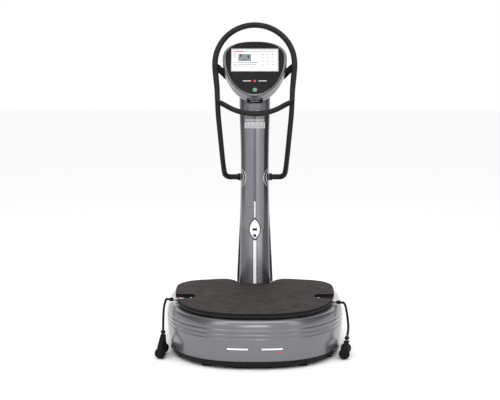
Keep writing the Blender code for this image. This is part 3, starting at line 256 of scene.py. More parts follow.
def subtract(obj, *tools):
    """Cut closed bmeshes out of an object and apply the result."""
    for bm in tools:
        bmesh.ops.recalc_face_normals(bm, faces=bm.faces)
        mesh = mesh_of(bm, "tool")
        tool = link_object("tool", mesh)
        modifier = obj.modifiers.new("cut", "BOOLEAN")
        modifier.object = tool
        modifier.operation = "DIFFERENCE"
        modifier.solver = "EXACT"
        bpy.context.view_layer.update()
        evaluated = obj.evaluated_get(bpy.context.evaluated_depsgraph_get())
        old, obj.data = obj.data, bpy.data.meshes.new_from_object(evaluated)
        obj.modifiers.remove(modifier)
        bpy.data.objects.remove(tool)
        for spent in (old, mesh):
            bpy.data.meshes.remove(spent)
    obj.data.shade_smooth()
    obj.data.set_sharp_from_angle(angle=radians(35))


def bevelled(obj, width, segments, angle):
    modifier = obj.modifiers.new("edge", "BEVEL")
    modifier.width = width
    modifier.segments = segments
    modifier.limit_method = "ANGLE"
    modifier.angle_limit = radians(angle)


# ------ finishes

class Finish:
    """A Principled material built up from object-space noise."""

    def __init__(self, name, colour, roughness, metallic=0.0):
        self.material = bpy.data.materials.new(name)
        self.material.use_nodes = True
        self.tree = self.material.node_tree
        self.shader = self.tree.nodes["Principled BSDF"]
        self.set(Base_Color=(*colour, 1), Roughness=roughness, Metallic=metallic)
        self.colour, self.roughness = colour, roughness
        self.coordinates = self.tree.nodes.new("ShaderNodeTexCoord").outputs["Object"]
        self.normal = None

    def node(self, kind, **values):
        made = self.tree.nodes.new(kind)
        for key, value in values.items():
            if key in made.inputs:
                made.inputs[key].default_value = value
            else:
                setattr(made, key, value)
        return made

    def link(self, source, target):
        self.tree.links.new(source, target)
        return self

    def noise(self, scale, detail=4.0, rough=0.6, stretch=None):
        made = self.node("ShaderNodeTexNoise", Scale=scale, Detail=detail, Roughness=rough)
        source = self.coordinates
        if stretch:
            mapping = self.node("ShaderNodeMapping", Scale=stretch)
            self.link(self.coordinates, mapping.inputs["Vector"])
            source = mapping.outputs["Vector"]
        self.link(source, made.inputs["Vector"])
        return made.outputs["Fac"]

    def ramp(self, source, stops):
        made = self.node("ShaderNodeValToRGB")
        elements = made.color_ramp.elements
        while len(elements) < len(stops):
            elements.new(0.5)
        for element, (place, colour) in zip(elements, stops):
            element.position = place
            element.color = (*colour, 1)
        self.link(source, made.inputs["Fac"])
        return made.outputs["Color"]

    def mottle(self, scale, amount, detail=5.0, stretch=None, tint=(0, 0, 0)):
        """Uneven tone: darker and lighter patches of the base colour."""
        dark = [max(0.0, c * (1 - amount) - t) for c, t in zip(self.colour, tint)]
        light = [min(1.0, c * (1 + amount) + t) for c, t in zip(self.colour, tint)]
        out = self.ramp(self.noise(scale, detail, 0.62, stretch), ((0.32, dark), (0.68, light)))
        self.link(out, self.shader.inputs["Base Color"])
        return self

    def range(self, source, low, high, to_low=0.0, to_high=1.0):
        ends = {"From Min": low, "From Max": high, "To Min": to_low, "To Max": to_high}
        made = self.node("ShaderNodeMapRange", **ends)
        self.link(source, made.inputs["Value"])
        return made.outputs["Result"]

    def mix(self, factor, a, b, blend="MIX"):
        made = self.node("ShaderNodeMix", data_type="RGBA", blend_type=blend, Factor=1.0)
        if factor:
            self.link(factor, made.inputs["Factor"])
        self.link(a, made.inputs[6]).link(b, made.inputs[7])
        return made.outputs[2]

    def uneven_gloss(self, scale, amount, stretch=None):
        ends = max(0.02, self.roughness - amount), min(1.0, self.roughness + amount)
        out = self.range(self.noise(scale, 3.0, 0.5, stretch), 0.3, 0.7, *ends)
        self.link(out, self.shader.inputs["Roughness"])
        return self

    def bump(self, height, strength, distance):
        made = self.node("ShaderNodeBump", Strength=strength, Distance=distance)
        self.link(height, made.inputs["Height"])
        if self.normal:
            self.link(self.normal, made.inputs["Normal"])
        self.normal = made.outputs["Normal"]
        self.link(self.normal, self.shader.inputs["Normal"])
        return self

    def grain(self, scale, strength, distance=0.0004, stretch=None, detail=2.0):
        return self.bump(self.noise(scale, detail, 0.6, stretch), strength, distance)

    def ribs(self, scale, axis, strength, distance, distortion):
        """Even ribs across an axis, as a bump."""
        made = self.node("ShaderNodeTexWave", Scale=scale, Distortion=distortion, bands_direction=axis)
        self.link(self.coordinates, made.inputs["Vector"])
        return self.bump(made.outputs["Fac"], strength, distance)

    def set(self, **values):
        for key, value in values.items():
            self.shader.inputs[key.replace("_", " ")].default_value = value
        return self


def finish(name, colour, roughness, mottle, gloss=None, grain=None, specular=0.5, metallic=0.0):
    """A finish from the arguments of its mottle, uneven gloss and grain."""
    made = Finish(name, colour, roughness, metallic).set(Specular_IOR_Level=specular).mottle(*mottle)
    if gloss:
        made.uneven_gloss(*gloss)
    return made.grain(*grain) if grain else made


def metal_paint(name, colour, roughness, metallic=0.6):
    made = finish(name, colour, roughness, (420, 0.03, 1.0), (14, 0.03), (700, 0.015, 0.0001),
                  metallic=metallic)
    return made.set(Coat_Weight=0.5, Coat_Roughness=0.06)


def painted_reflection_bands():
    """Graphite with painted reflections: soft lengthwise bands of painted highlight and painted shade across
    the front, brighter and bluer along the middle of the lower front.
    """
    made = metal_paint("column_painted_reflections", (0.2, 0.2, 0.22), 0.27)
    split = made.node("ShaderNodeSeparateXYZ")
    made.link(made.coordinates, split.inputs[0])
    across = made.range(split.outputs["X"], -0.075, 0.075)
    dark, low, mid = (0.055, 0.055, 0.064), (0.125, 0.125, 0.137), (0.18, 0.179, 0.196)
    light, pale, blue = (0.27, 0.268, 0.292), (0.36, 0.36, 0.39), (0.095, 0.11, 0.142)
    # painted reflections: dark edge bands, pale painted highlights and a bluish reflected band, one set above
    # the pad and one below it
    upper = made.ramp(across, (
        (0.00, dark), (0.05, low), (0.12, mid), (0.26, mid), (0.44, mid), (0.475, blue), (0.53, blue),
        (0.57, light), (0.7, mid), (0.78, mid), (0.82, dark), (0.93, dark), (0.97, mid)))
    lower = made.ramp(across, (
        (0.00, dark), (0.06, low), (0.14, low), (0.3, mid), (0.41, light), (0.43, blue),
        (0.57, blue), (0.6, pale), (0.72, light), (0.79, dark), (0.95, dark)))
    height = made.range(split.outputs["Z"], PAD_Z - 0.01, PAD_Z + 0.01)
    flake = made.ramp(made.noise(420, 1.0), ((0.3, (0.95,) * 3), (0.7, (1.0,) * 3)))
    # the painted reflection bands switch at the pad's height; the flake noise is the paint's own
    tone = made.mix(None, made.mix(height, lower, upper), flake, "MULTIPLY")
    made.link(tone, made.shader.inputs["Base Color"])
    return made


SMALL_MOTTLE, SMALL_GLOSS, SMALL_GRAIN = (200, 0.1), (100, 0.06), (2000, 0.08, 0.0001)
GRAPHITE = metal_paint("graphite_paint", (0.146, 0.148, 0.163), 0.32)
LIGHT_GREY = metal_paint("light_grey_paint", (0.46, 0.46, 0.485), 0.32, 0.35)
# the column's finish, with painted reflection bands in its colour
COLUMN_PAINTED_REFLECTIONS = painted_reflection_bands()
BLACK_PLASTIC = finish("black_plastic", (0.0065, 0.0062, 0.0065), 0.42, (60, 0.25), (40, 0.08),
                       (2600, 0.25, 0.0002), 0.16)
FASCIA = finish("fascia_plastic", (0.008, 0.0072, 0.008), 0.28, (25, 0.15), (18, 0.06),
                (3200, 0.15, 0.00015), 0.16)
BLACK_COAT = finish("black_coating", (0.0095, 0.008, 0.0076), 0.5, (90, 0.3), (50, 0.1),
                    (1800, 0.35, 0.0003), 0.22)
RUBBER = finish("black_rubber", (0.0055, 0.0052, 0.0052), 0.66, (70, 0.3), (60, 0.1),
                (1500, 0.4, 0.0003), 0.12)
MAT_RUBBER = finish("mat_rubber", (0.031, 0.025, 0.0235), 0.82, (34, 0.22, 9.0, None, (0.002, 0.002, 0.001)),
                    (22, 0.1), (700, 0.55, 0.0006, None, 5.0), 0.2)
STEEL = finish("bare_steel", (0.46, 0.46, 0.47), 0.38, (30, 0.1, 6.0, (1, 1, 12)), (120, 0.1, (1, 1, 20)),
               (400, 0.12, 0.0002, (1, 1, 20)), metallic=1.0)
CHROME = finish("chrome", (0.86, 0.86, 0.87), 0.14, (60, 0.04), (90, 0.05), (600, 0.03, 0.0001), metallic=1.0)
SILVER = finish("silver_plastic", (0.52, 0.52, 0.54), 0.3, (50, 0.05), (60, 0.05), (2400, 0.06, 0.0001),
                metallic=0.5)
WHITE = finish("white_plastic", (0.88, 0.88, 0.88), 0.3, (40, 0.02), (60, 0.05), (2200, 0.08, 0.0001))
WHITE.set(Coat_Weight=0.3, Coat_Roughness=0.1)
GLASS = finish("screen_glass", (0.78, 0.81, 0.81), 0.12, (6, 0.03, 2.0), (20, 0.04))
GLASS.set(Coat_Weight=0.5, Coat_Roughness=0.04, Emission_Color=(0.93, 0.97, 0.96, 1), Emission_Strength=0.1)
GREEN = finish("green_plastic", (0.01, 0.36, 0.12), 0.3, SMALL_MOTTLE, SMALL_GLOSS, SMALL_GRAIN)
RED = finish("red_plastic", (0.55, 0.012, 0.018), 0.32, SMALL_MOTTLE, SMALL_GLOSS, SMALL_GRAIN)
BOARD = finish("circuit_board", (0.02, 0.17, 0.07), 0.45, (160, 0.25), (80, 0.08), (900, 0.2, 0.0002))
WEBBING = finish("black_webbing", (0.008, 0.008, 0.0085), 0.8, (120, 0.35), (90, 0.08), specular=0.16)
WEBBING.ribs(520, "Z", 0.55, 0.0006, 0.6).grain(2600, 0.5, 0.0003)
LABEL = finish("label_film", (0.52, 0.52, 0.53), 0.45, (90, 0.04), (60, 0.05))
LABEL_INK = finish("label_ink", (0.16, 0.16, 0.17), 0.45, (200, 0.08))
INK_GREY = finish("ink_grey", (0.03, 0.035, 0.04), 0.4, (200, 0.08))
INK_PALE = finish("ink_pale", (0.17, 0.19, 0.2), 0.4, (200, 0.05))
INK_RED = finish("ink_red", (0.6, 0.01, 0.03), 0.4, (200, 0.08))
FINISHES = {
    "graphite_shell": GRAPHITE, "light_grey_shell": LIGHT_GREY, "black_plastic": BLACK_PLASTIC,
    "black_coated_steel": BLACK_COAT, "black_rubber": RUBBER, "mat_rubber": MAT_RUBBER, "steel": STEEL,
    "chrome": CHROME, "white_plastic": WHITE, "screen_glass": GLASS, "green_plastic": GREEN,
    "circuit_board": BOARD, "black_webbing": WEBBING}


def piece(name, bm, node, finish, replace=True, sharp=35):
    """A fine surface for a CAD node, or a detail that rides with it."""
    bmesh.ops.remove_doubles(bm, verts=bm.verts, dist=1e-6)
    bmesh.ops.recalc_face_normals(bm, faces=bm.faces)
    mesh = mesh_of(bm, name)
    mesh.shade_smooth()
    mesh.set_sharp_from_angle(angle=radians(sharp))
    mesh.materials.append(finish.material)
    obj = link_object(name, mesh)
    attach(obj, BODY[node])
    if replace:
        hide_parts(node)
    return obj


def detail(name, bm, node, finish):
    """A small piece that rides with a CAD node and leaves it in view."""
    return piece(name, bm, node, finish, replace=False)


# ------ housing

def housing_curve(t, offset=0.0):
    def base(angle):
        front = sin(angle) < 0
        power = 2 / (FRONT_POWER if front else REAR_POWER)
        depth = HOUSING_FRONT if front else HOUSING_REAR
        return Vector((HOUSING_HALF_WIDTH * signed_power(cos(angle), power),
                       HOUSING_CENTRE_Y + depth * signed_power(sin(angle), power)))
    along = base(t + 1e-4) - base(t - 1e-4)
    return base(t) + Vector((along.y, -along.x)).normalized() * offset


def seam_y(z):
    return SEAM_Y_LOW + (SEAM_Y_HIGH - SEAM_Y_LOW) * (z - COVER_BOTTOM) / (DECK_TOP - COVER_BOTTOM)


def turning_angle(low, high, short):
    """The angle between low and high up to which a test holds."""
    for _ in range(40):
        middle = (low + high) / 2
        if short(middle):
            low = middle
        else:
            high = middle
    return middle


def seam_angle(z, offset, shift):
    """Angle on the housing's outline where the leaning seam crosses it."""
    return turning_angle(-pi / 2, 0.3, lambda t: housing_curve(t, offset).y < seam_y(z) + shift)


def wall_angle(x):
    """Angle on the housing's front half where its outline is at a place across it."""
    return turning_angle(-pi, 0.0, lambda t: housing_curve(t).x < x)


def wall_offset(z):
    if z <= WALL_TOP:
        return WALL_LEAN * (z - COVER_BOTTOM) / (WALL_TOP - COVER_BOTTOM)
    rise = min((z - WALL_TOP) / (DECK_TOP - WALL_TOP), 1.0)
    return WALL_LEAN - SHOULDER_REACH * (1 - sqrt(max(0.0, 1 - rise * rise)))


def groove_cut(z):
    for middle in GROOVE_HEIGHTS:
        away = abs(z - middle) / GROOVE_HALF
        if away < 1:
            return GROOVE_DEPTH * (1 - away ** 1.6)
    return 0.0


def fine_wall():
    """Outer points of the cover's section from its lower edge to the deck, as (offset, height)."""
    heights = [0.0412, 0.05, 0.075, 0.1, 0.125, 0.136]
    shares = (-1.35, -1.0, -0.8, -0.55, -0.28, 0, 0.28, 0.55, 0.8, 1.0, 1.35)
    heights += [middle + GROOVE_HALF * share for middle in GROOVE_HEIGHTS for share in shares]
    heights += [0.1955, 0.1995, 0.2035, 0.207, 0.2105, 0.2135, 0.216, 0.218, 0.2197, 0.221, 0.2219]
    profile = [(-0.0012, COVER_BOTTOM), (-0.0003, COVER_BOTTOM + 0.0004)]
    profile += [(wall_offset(z) - groove_cut(z), z) for z in sorted(heights)]
    return profile + [(wall_offset(DECK_TOP), DECK_TOP)]


def platform_outline(inset=0.0, per_span=8):
    """The platform's outline drawn in by an inset."""
    points = spline(mirrored(PLATFORM_HALF), per_span, closed=True)
    result = []
    for before, point, after in zip([points[-1]] + points, points, points[1:] + [points[0]]):
        along = after - before
        result.append(point - Vector((along.y, -along.x)).normalized() * inset)
    return result


def polyline_at(points, fraction):
    lengths = [(b - a).length for a, b in zip(points, points[1:])]
    left = fraction * sum(lengths)
    for (a, b), length in zip(zip(points, points[1:]), lengths):
        if left <= length:
            return a + (b - a) * (left / length)
        left -= length
    return points[-1]


def opening_path(front, seam):
    """The deck's opening on one side of the seam, from side to side."""
    right = [p for p in platform_outline(OPENING_INSET) if p.x >= 0]
    split = next(i for i, p in enumerate(right) if p.y > seam)
    before, after = right[split - 1], right[split]
    edge = before + (after - before) * ((seam - before.y) / (after.y - before.y))
    half = right[:split] + [edge] if front else [edge] + right[split:]
    mirror = [Vector((-p.x, p.y)) for p in reversed(half)]
    return mirror[:-1] + half if front else half + mirror[1:]


def settle(point):
    x, y, z = point
    run = min(max((y - TAIL_START_Y) / (HOUSING_CENTRE_Y + HOUSING_REAR - TAIL_START_Y), 0.0), 1.0)
    share = min(max((z - TAIL_BASE) / (DECK_TOP - TAIL_BASE), 0.0), 1.0)
    return (x, y, z - TAIL_DROP * run * run * (3 - 2 * run) * share)


def cover_bm(front, sections=170):
    shift = -SEAM_HALF_GAP if front else SEAM_HALF_GAP
    outer = fine_wall()
    under = DECK_TOP - COVER_WALL
    inner = [(wall_offset(DECK_TOP), under), (wall_offset(0.214) - COVER_WALL, 0.209),
             (wall_offset(0.19) - COVER_WALL, 0.19), (-COVER_WALL, COVER_BOTTOM)]
    edge_top = opening_path(front, seam_y(DECK_TOP) + shift)
    edge_under = opening_path(front, seam_y(under) + shift)
    starts = {z: seam_angle(z, offset, shift) for offset, z in outer + inner}
    rings = []
    for u in vary(0.0, 1.0, sections):
        def at(offset, z):
            start = starts[z]
            t = -pi - start + (pi + 2 * start) * u if front else start + (pi - 2 * start) * u
            return (*housing_curve(t, offset), z)
        ring = [at(*point) for point in outer]
        ring += [(*polyline_at(edge_top, u), DECK_TOP), (*polyline_at(edge_under, u), under)]
        ring += [at(*point) for point in inner]
        rings.append([settle(point) for point in ring])
    return loft_bm(rings)


def strip_on_wall(x0, x1, z0, z1, raised=0.0005, sunk=0.0006):
    """A thin strip on the housing's front wall between two places across it and two heights."""
    corners = ((z0, raised), (z1, raised), (z1, -sunk), (z0, -sunk))
    return loft_bm([[(*housing_curve(wall_angle(x), wall_offset(z) + lift), z) for z, lift in corners]
                    for x in vary(x0, x1, 15)])


def build_housing():
    piece("housing_front", cover_bm(True), "front_cover", GRAPHITE, sharp=50)
    rear = piece("housing_rear", cover_bm(False), "rear_cover", LIGHT_GREY, sharp=50)
    for index, x in enumerate((-0.122, 0.03)):
        detail("front_bar_%d" % index, strip_on_wall(x, x + 0.092, 0.0935, 0.1), "front_cover", WHITE)
    detail("front_bar_red", strip_on_wall(0.098, 0.122, 0.08, 0.0845), "front_cover", RED)
    subtract(rear, box_bm((-0.039, 0.241, 0.2), (0.039, 0.309, 0.24)),
             box_bm((-0.0426, 0.44, 0.0814), (0.0426, 0.56, 0.1226)))


# ------ platform

def slot_bm(sign, grow=0.0):
    """The tapered notch for the cable adjuster, widened by grow."""
    arc = [(SLOT_END_X - (SLOT_END_REACH + grow) * sin(a), SLOT_Y + (SLOT_HALF + grow) * cos(a))
           for a in vary(0.0, pi, 33)]
    front = [(x, y - grow) for x, y in SLOT_FRONT]
    rear = [(x, y + grow) for x, y in SLOT_REAR]
    outline = [(sign * x, y) for x, y in arc + front + rear]
    return loft_bm([[(x, y, z) for x, y in outline] for z in (PLATE_BOTTOM - 0.02, MAT_TOP + 0.02)])


def slab_bm(levels):
    """The platform's outline at several (inset, height) levels."""
    return loft_bm([[(*p, z) for p in platform_outline(inset, 10)] for inset, z in levels])


def build_platform():
    edge = slab_bm(((0.001, PLATE_TOP + GAP), (0.0, PLATE_TOP + 0.0012), (0.0, MAT_TOP - 0.0032),
                    (0.0008, MAT_TOP - 0.0016), (0.0022, MAT_TOP - 0.001)))
    top = slab_bm(((0.004, MAT_TOP - 0.0014), (0.004, MAT_TOP - 0.0005), (0.0046, MAT_TOP)))
    subtract(piece("mat_edge", edge, "mat", RUBBER), slot_bm(-1), slot_bm(1))
    subtract(detail("mat_top", top, "mat", MAT_RUBBER), slot_bm(-1, 0.003), slot_bm(1, 0.003))
    bevelled(NODES["vibration_plate"], 0.0008, 2, 50)


# ------ column

def front_section(z, inset, count):
    half, power = smooth_table(COLUMN_WIDTHS, z) - inset, 2 / FRONT_SQUARENESS
    start = COLUMN_FRONT_Y + inset
    face = [(half * signed_power(cos(t), power), start + COLUMN_ROUND * (1 - sin(t) ** power), z)
            for t in vary(0.0, pi, count)]
    return [(half, COLUMN_SEAM_Y, z), *face, (-half, COLUMN_SEAM_Y, z)]


def rear_section(z, inset, count):
    half = smooth_table(REAR_WIDTHS, z) - inset
    depth = smooth_table(REAR_DEPTHS, z) - inset
    power, start = 2 / REAR_SQUARENESS, COLUMN_SEAM_Y + 0.0006
    return [(half * signed_power(cos(t), power), start + depth * sin(t) ** power, z)
            for t in vary(0.0, pi, count)]


def shell_bm(section, heights, count):
    return loft_bm([section(z, 0.0, count) + list(reversed(section(z, COLUMN_WALL, count))) for z in heights])


def column_surface(x, z, lift=0.0):
    """Point on the column's front at a place across it, raised by lift."""
    share = min(abs(x) / smooth_table(COLUMN_WIDTHS, z), 1.0) ** (FRONT_SQUARENESS / 2)
    round_off = 1 - sqrt(max(0.0, 1 - share * share)) ** (2 / FRONT_SQUARENESS)
    return Vector((x, COLUMN_FRONT_Y + COLUMN_ROUND * round_off - lift, z))


def strip_on_column(half_width, low, high, thickness=0.0004, centre=0.0):
    """A thin flat strip that follows the column's front: a label, or a painted highlight."""
    near, far = centre - half_width, centre + half_width
    ring = [column_surface(x, low, thickness) for x in vary(near, far, 25)]
    ring += [column_surface(x, low, -0.0003) for x in vary(far, near, 25)]
    return loft_bm([[Vector((p.x, p.y, z)) for p in ring] for z in (low, high)])


def arc_on_column(sign, reach, half_height, width=0.0016, raised=0.0005, sunk=0.0004):
    """A thin raised line that bulges inward round a handlebar collar."""
    half = smooth_table(COLUMN_WIDTHS, COLLAR_Z)
    end = half - 0.0015
    rings = []
    for a in vary(-1.0, 1.0, 41):
        x = end - (end - reach) * (1 - a * a) ** 0.9
        x0, x1, z = max(x, 0.0), min(x + width, half - 0.0004), COLLAR_Z + half_height * a
        corners = (x0, z, raised), (x1, z, raised), (x1, z, -sunk), (x0, z, -sunk)
        ring = [column_surface(*corner) for corner in corners]
        rings.append([Vector((sign * p.x, p.y, p.z)) for p in ring])
    return loft_bm(rings)


def build_column():
    front = "column_front_cover"
    heights = vary(DECK_TOP + GAP, COLUMN_TOP, 40)
    piece("column_front", shell_bm(front_section, heights, 61), front, COLUMN_PAINTED_REFLECTIONS)
    piece("column_rear", shell_bm(rear_section, heights, 49), "column_rear_cover", LIGHT_GREY)
    for index, (low, high, half) in enumerate(((1.03, 1.061, 0.05), (1.068, 1.0725, 0.046))):
        detail("label_strip_%d" % index, strip_on_column(half, low, high), front, LABEL)
    for row, low in enumerate((1.0345, 1.0435, 1.0525)):
        for index, x in enumerate(vary(-0.04, 0.04, 7 - row)):
            dash = strip_on_column(0.005 - 0.0006 * row, low, low + 0.0045, 0.0006, x)
            detail("label_dash_%d_%d" % (row, index), dash, front, LABEL_INK)
    for index, low in enumerate((0.66, 0.648)):
        detail("label_line_%d" % index, strip_on_column(0.026, low, low + 0.0055), front, INK_PALE)
    # white strips that paint the highlight of a strip light down the middle of the column's front, above and
    # below the pad
    detail("painted_highlight_upper", strip_on_column(0.003, 0.583, 0.664, 0.0005), front, WHITE)
    detail("painted_highlight_lower", strip_on_column(0.0078, 0.2236, 0.469, 0.0003), front, WHITE)
    for side, sign in SIDES:
        for index, (reach, tall) in enumerate(((0.0435, 0.0475), (0.056, 0.036))):
            detail("collar_arc_%s_%d" % (side, index), arc_on_column(sign, reach, tall), front,
                  WHITE)


# ------ head

def head_point(x, v, d):
    return HEAD_CENTRE + Vector((x, 0, 0)) + HEAD_UP * v + HEAD_BACK * d


def head_matrix():
    axes = Matrix((Vector((1, 0, 0)), HEAD_UP, HEAD_BACK)).transposed()
    return Matrix.Translation(HEAD_CENTRE) @ axes.to_4x4()


def head_box(low, high, bevel=0.0):
    return box_bm(low, high, bevel, head_matrix())


def egg(half_width, wide_v, top_v, bottom_v, bottom_power, grow, count=180):
    """Superellipse outline with its own reach and power above and below its widest place."""
    points = []
    for i in range(count):
        a = 2 * pi * i / count
        reach = (top_v - wide_v if sin(a) > 0 else wide_v - bottom_v) + grow
        power = 2 / (HEAD_TOP_POWER if sin(a) > 0 else bottom_power)
        x = (half_width + grow) * signed_power(cos(a), power)
        points.append((x, wide_v + reach * signed_power(sin(a), power)))
    return points


def head_rings(levels, size=HEAD_EGG):
    """An egg-shaped outline at several (grow, depth) levels of the head."""
    return [[head_point(x, v, d) for x, v in egg(*size, grow)] for grow, d in levels]


def start_hole(radius):
    return turned_bm(head_point(0, START_V, -0.01), head_point(0, START_V, 0.03), ((0, radius), (1, radius)))


def build_head():
    split, clear = HEAD_SPLIT_D, 0.0006
    back = ((-0.032, 0.0805), (-0.015, 0.077), (-0.005, 0.062), (-0.0035, split + GAP),
            (-0.0006, split + GAP), (0.0, split + 0.001), (0.0, 0.056), (-0.0008, 0.062),
            (-0.0028, 0.069), (-0.0062, 0.0752), (-0.011, 0.0798), (-0.0175, 0.083), (-0.03, HEAD_DEPTH))
    rear = piece("head_rear", loft_bm(head_rings(back)), "head_rear_shell", GRAPHITE)
    subtract(rear, head_box((-PORT_HALF_WIDTH - clear, -0.2, PORT_D[0] - clear),
                            (PORT_HALF_WIDTH + clear, -0.14, PORT_D[1] + clear)))
    rings = head_rings(((-0.0006, split), (0.0, split - 0.001), (0.0, 0.014), (-0.0003, 0.01),
                        (-0.001, 0.0066), (-0.002, 0.0038), (-0.003, 0.002), (-0.004, 0.001)))
    rings += head_rings(((0.003, 0.0002), (0.0018, 0.0), (0.001, 0.0004), (0.0008, 0.002),
                         (0.0008, 0.0115), (-0.008, 0.0115), (-0.008, 0.0145)), FASCIA_EGG)
    rings += head_rings(((-0.006, 0.016), (-0.0035, split)))
    piece("head_front", loft_bm(rings, True), "head_bezel", GRAPHITE)
    face = loft_bm(head_rings(((-0.0006, 0.005), (0.0, 0.0056), (0.0, 0.0112)), FASCIA_EGG))
    fascia = piece("console_fascia", face, "fascia", FASCIA)
    width, (low, high), clear = SCREEN_HALF_WIDTH, SCREEN_V, 0.0005
    window = head_box((-width - clear, low - clear, -0.01), (width + clear, high + clear, 0.02))
    subtract(fascia, window, start_hole(START_RADIUS + clear))
    build_display(width - SCREEN_RIM, low + SCREEN_RIM, high - SCREEN_RIM)
    profile = ((0.0, 0.0006), (0.0, 0.0022), (0.45, 0.0024), (1.0, 0.0024))
    rim = turned_bm(head_point(0, START_V, 0.0044), head_point(0, START_V, 0.0052),
                    [(at, START_RADIUS + more) for at, more in profile])
    subtract(detail("start_rim", rim, "fascia", SILVER), start_hole(START_RADIUS + 0.0007))
    for index, x in enumerate((-0.058, 0.018)):
        bar = head_box((x, -0.0745, 0.0046), (x + 0.04, -0.07, 0.0052), 0.0002)
        detail("fascia_bar_%d" % index, bar, "fascia", SILVER)
    detail("fascia_dot", head_box((-0.006, -0.078, 0.0046), (0.006, -0.0665, 0.0052), 0.0002), "fascia", RED)
    near, far = PORT_D
    tongue = head_box((-0.022, -0.159, near + 0.0105), (0.022, -0.1515, near + 0.0145), 0.0004)
    detail("port_tongue", tongue, "port_socket", SILVER)
    for index, x in enumerate(vary(-0.024, 0.024, 9)):
        contact = head_box((x - 0.0014, -0.1535, near + 0.008), (x + 0.0012, -0.1515, far - 0.008), 0.0003)
        detail("port_contact_%d" % index, contact, "port_socket", CHROME)


def build_display(half, low, high):
    """Generic screen content: a header, picture panel, list lines and tiles, as thin raised films."""
    def film(name, x0, x1, v0, v1, ink):
        left, right = -half + 2 * half * x0, -half + 2 * half * x1
        bottom, top = low + (high - low) * v0, low + (high - low) * v1
        detail("ui_" + name, head_box((left, bottom, 0.0047), (right, top, 0.0051)), "display_glass", ink)
    film("title", 0.02, 0.27, 0.895, 0.95, INK_RED)
    film("rule", 0.28, 0.95, 0.9, 0.93, INK_PALE)
    film("picture", 0.13, 0.42, 0.44, 0.8, INK_PALE)
    film("picture_bar", 0.22, 0.3, 0.47, 0.53, INK_GREY)
    film("picture_mark", 0.17, 0.205, 0.66, 0.77, INK_GREY)
    film("picture_red", 0.335, 0.375, 0.58, 0.74, INK_RED)
    for i, v in enumerate((0.8, 0.7)):
        film("side_key_%d" % i, 0.035, 0.075, v - 0.03, v + 0.02, INK_GREY)
    for i, v in enumerate((0.355, 0.255, 0.155)):
        film("line_%d" % i, 0.13, 0.57 - 0.03 * i, v, v + 0.032, INK_GREY if i < 2 else INK_PALE)
        film("tag_%d" % i, 0.02, 0.115, v - 0.01, v + 0.03, INK_RED if i < 2 else INK_PALE)
    for row in range(4):
        for column in range(3):
            x, v = 0.65 + 0.11 * column, 0.76 - 0.17 * row
            ink = INK_RED if (row, column) in ((0, 0), (1, 1)) else INK_PALE
            film("tile_%d_%d" % (row, column), x, x + 0.05, v, v + 0.04, ink)


# ------ control pad

def vesica(half_width, half_height, count=41):
    """A pointed oval made of two arcs."""
    radius = (half_width ** 2 + half_height ** 2) / (2 * half_width)
    reach = Vector((radius - half_width, half_height)).angle(Vector((1, 0)))
    right = [(radius * cos(a) - radius + half_width, radius * sin(a)) for a in vary(-reach, reach, count)]
    return right + [(-x, -z) for x, z in right[1:-1]]


def pad_bm(levels):
    return loft_bm([[(x, y, PAD_Z + z) for x, z in vesica(w, h)] for w, h, y in levels])


def build_pad():
    back, front, w, h = COLUMN_FRONT_Y - GAP, PAD_FRONT_Y, PAD_HALF_WIDTH, PAD_HALF_HEIGHT
    a, b = w - PAD_RIM, h - 1.6 * PAD_RIM
    rim = pad_bm(((w, h, back), (w, h, front + 0.0008), (w - 0.0003, h - 0.0005, front + 0.0003),
                  (w - 0.0009, h - 0.0014, front)))
    well = pad_bm(((a, b, front - 0.01), (a, b, back + 0.01)))
    subtract(piece("pad_rim", rim, "pad_bezel", BLACK_PLASTIC), well)
    a, b = a - 0.0004, b - 0.0006
    plate = pad_bm(((a, b, back), (a, b, front + 0.0012), (a - 0.0005, b - 0.0008, front + 0.0008)))
    button_hole = turned_bm((0, 0.18, 0.493), (0, 0.22, 0.493), ((0, 0.0073), (1, 0.0073)))
    key_hole = box_bm((-0.0115, 0.18, 0.518), (0.0115, 0.22, 0.53))
    subtract(piece("pad_plate", plate, "pad_face", WHITE), button_hole, key_hole)
    dome = ((0, 0.0008), (0.5, 0.0012), (1, 0.0012))
    for index, (x, z) in enumerate(((0.0, 0.551), (-0.0045, 0.5435), (0.0045, 0.5435))):
        lamp = turned_bm((x, front + 0.0003, z), (x, front + 0.0009, z), dome, 16)
        detail("pad_light_%d" % index, lamp, "pad_face", INK_GREY)


# ------ handlebar

def both_sides(right):
    """A path from left to right, given its right half, which ends on the centre plane."""
    return [(-x, y, z) for x, y, z in right[:-1]] + list(reversed(right))


def arch_points(per_span):
    """The handlebar's route: both uprights and the half ellipse that joins them over the head."""
    rise = HOOP_TOP - HOOP_SIDE
    hoop = [(HOOP_SIDE.x * cos(a), *(HOOP_SIDE + rise * sin(a)).yz) for a in vary(0, pi / 2, 6)]
    return spline(both_sides((*UPRIGHT, *hoop)), per_span)


def tube_radius(point):
    return smooth_table(TUBE_RADII, max(point.z, TUBE_RADII[0][0]), 0.03)


def build_handlebar():
    piece("handlebar_tube", tube_bm(arch_points(8), tube_radius), "handlebar_arch", BLACK_COAT)
    crossbar = tube_bm(spline(both_sides(CROSSBAR_HALF), 10), CROSSBAR_RADIUS)
    piece("crossbar_tube", crossbar, "handlebar_crossbar", BLACK_COAT)
    profile = ((0.0, 0.0172), (0.04, COLLAR_RADIUS), (0.44, COLLAR_RADIUS), (0.48, 0.017), (0.56, 0.017),
               (0.6, COLLAR_RADIUS), (0.92, COLLAR_RADIUS), (1.0, 0.0168))
    for side, sign in SIDES:
        near, far = ((sign * x, COLLAR_Y, COLLAR_Z) for x in COLLAR_X)
        piece("collar_ring_" + side, turned_bm(near, far, profile, 48), "collar_" + side, BLACK_PLASTIC)
        bevelled(NODES["handlebar_bracket_" + side], 0.0012, 3, 40)


# ------ cable handles

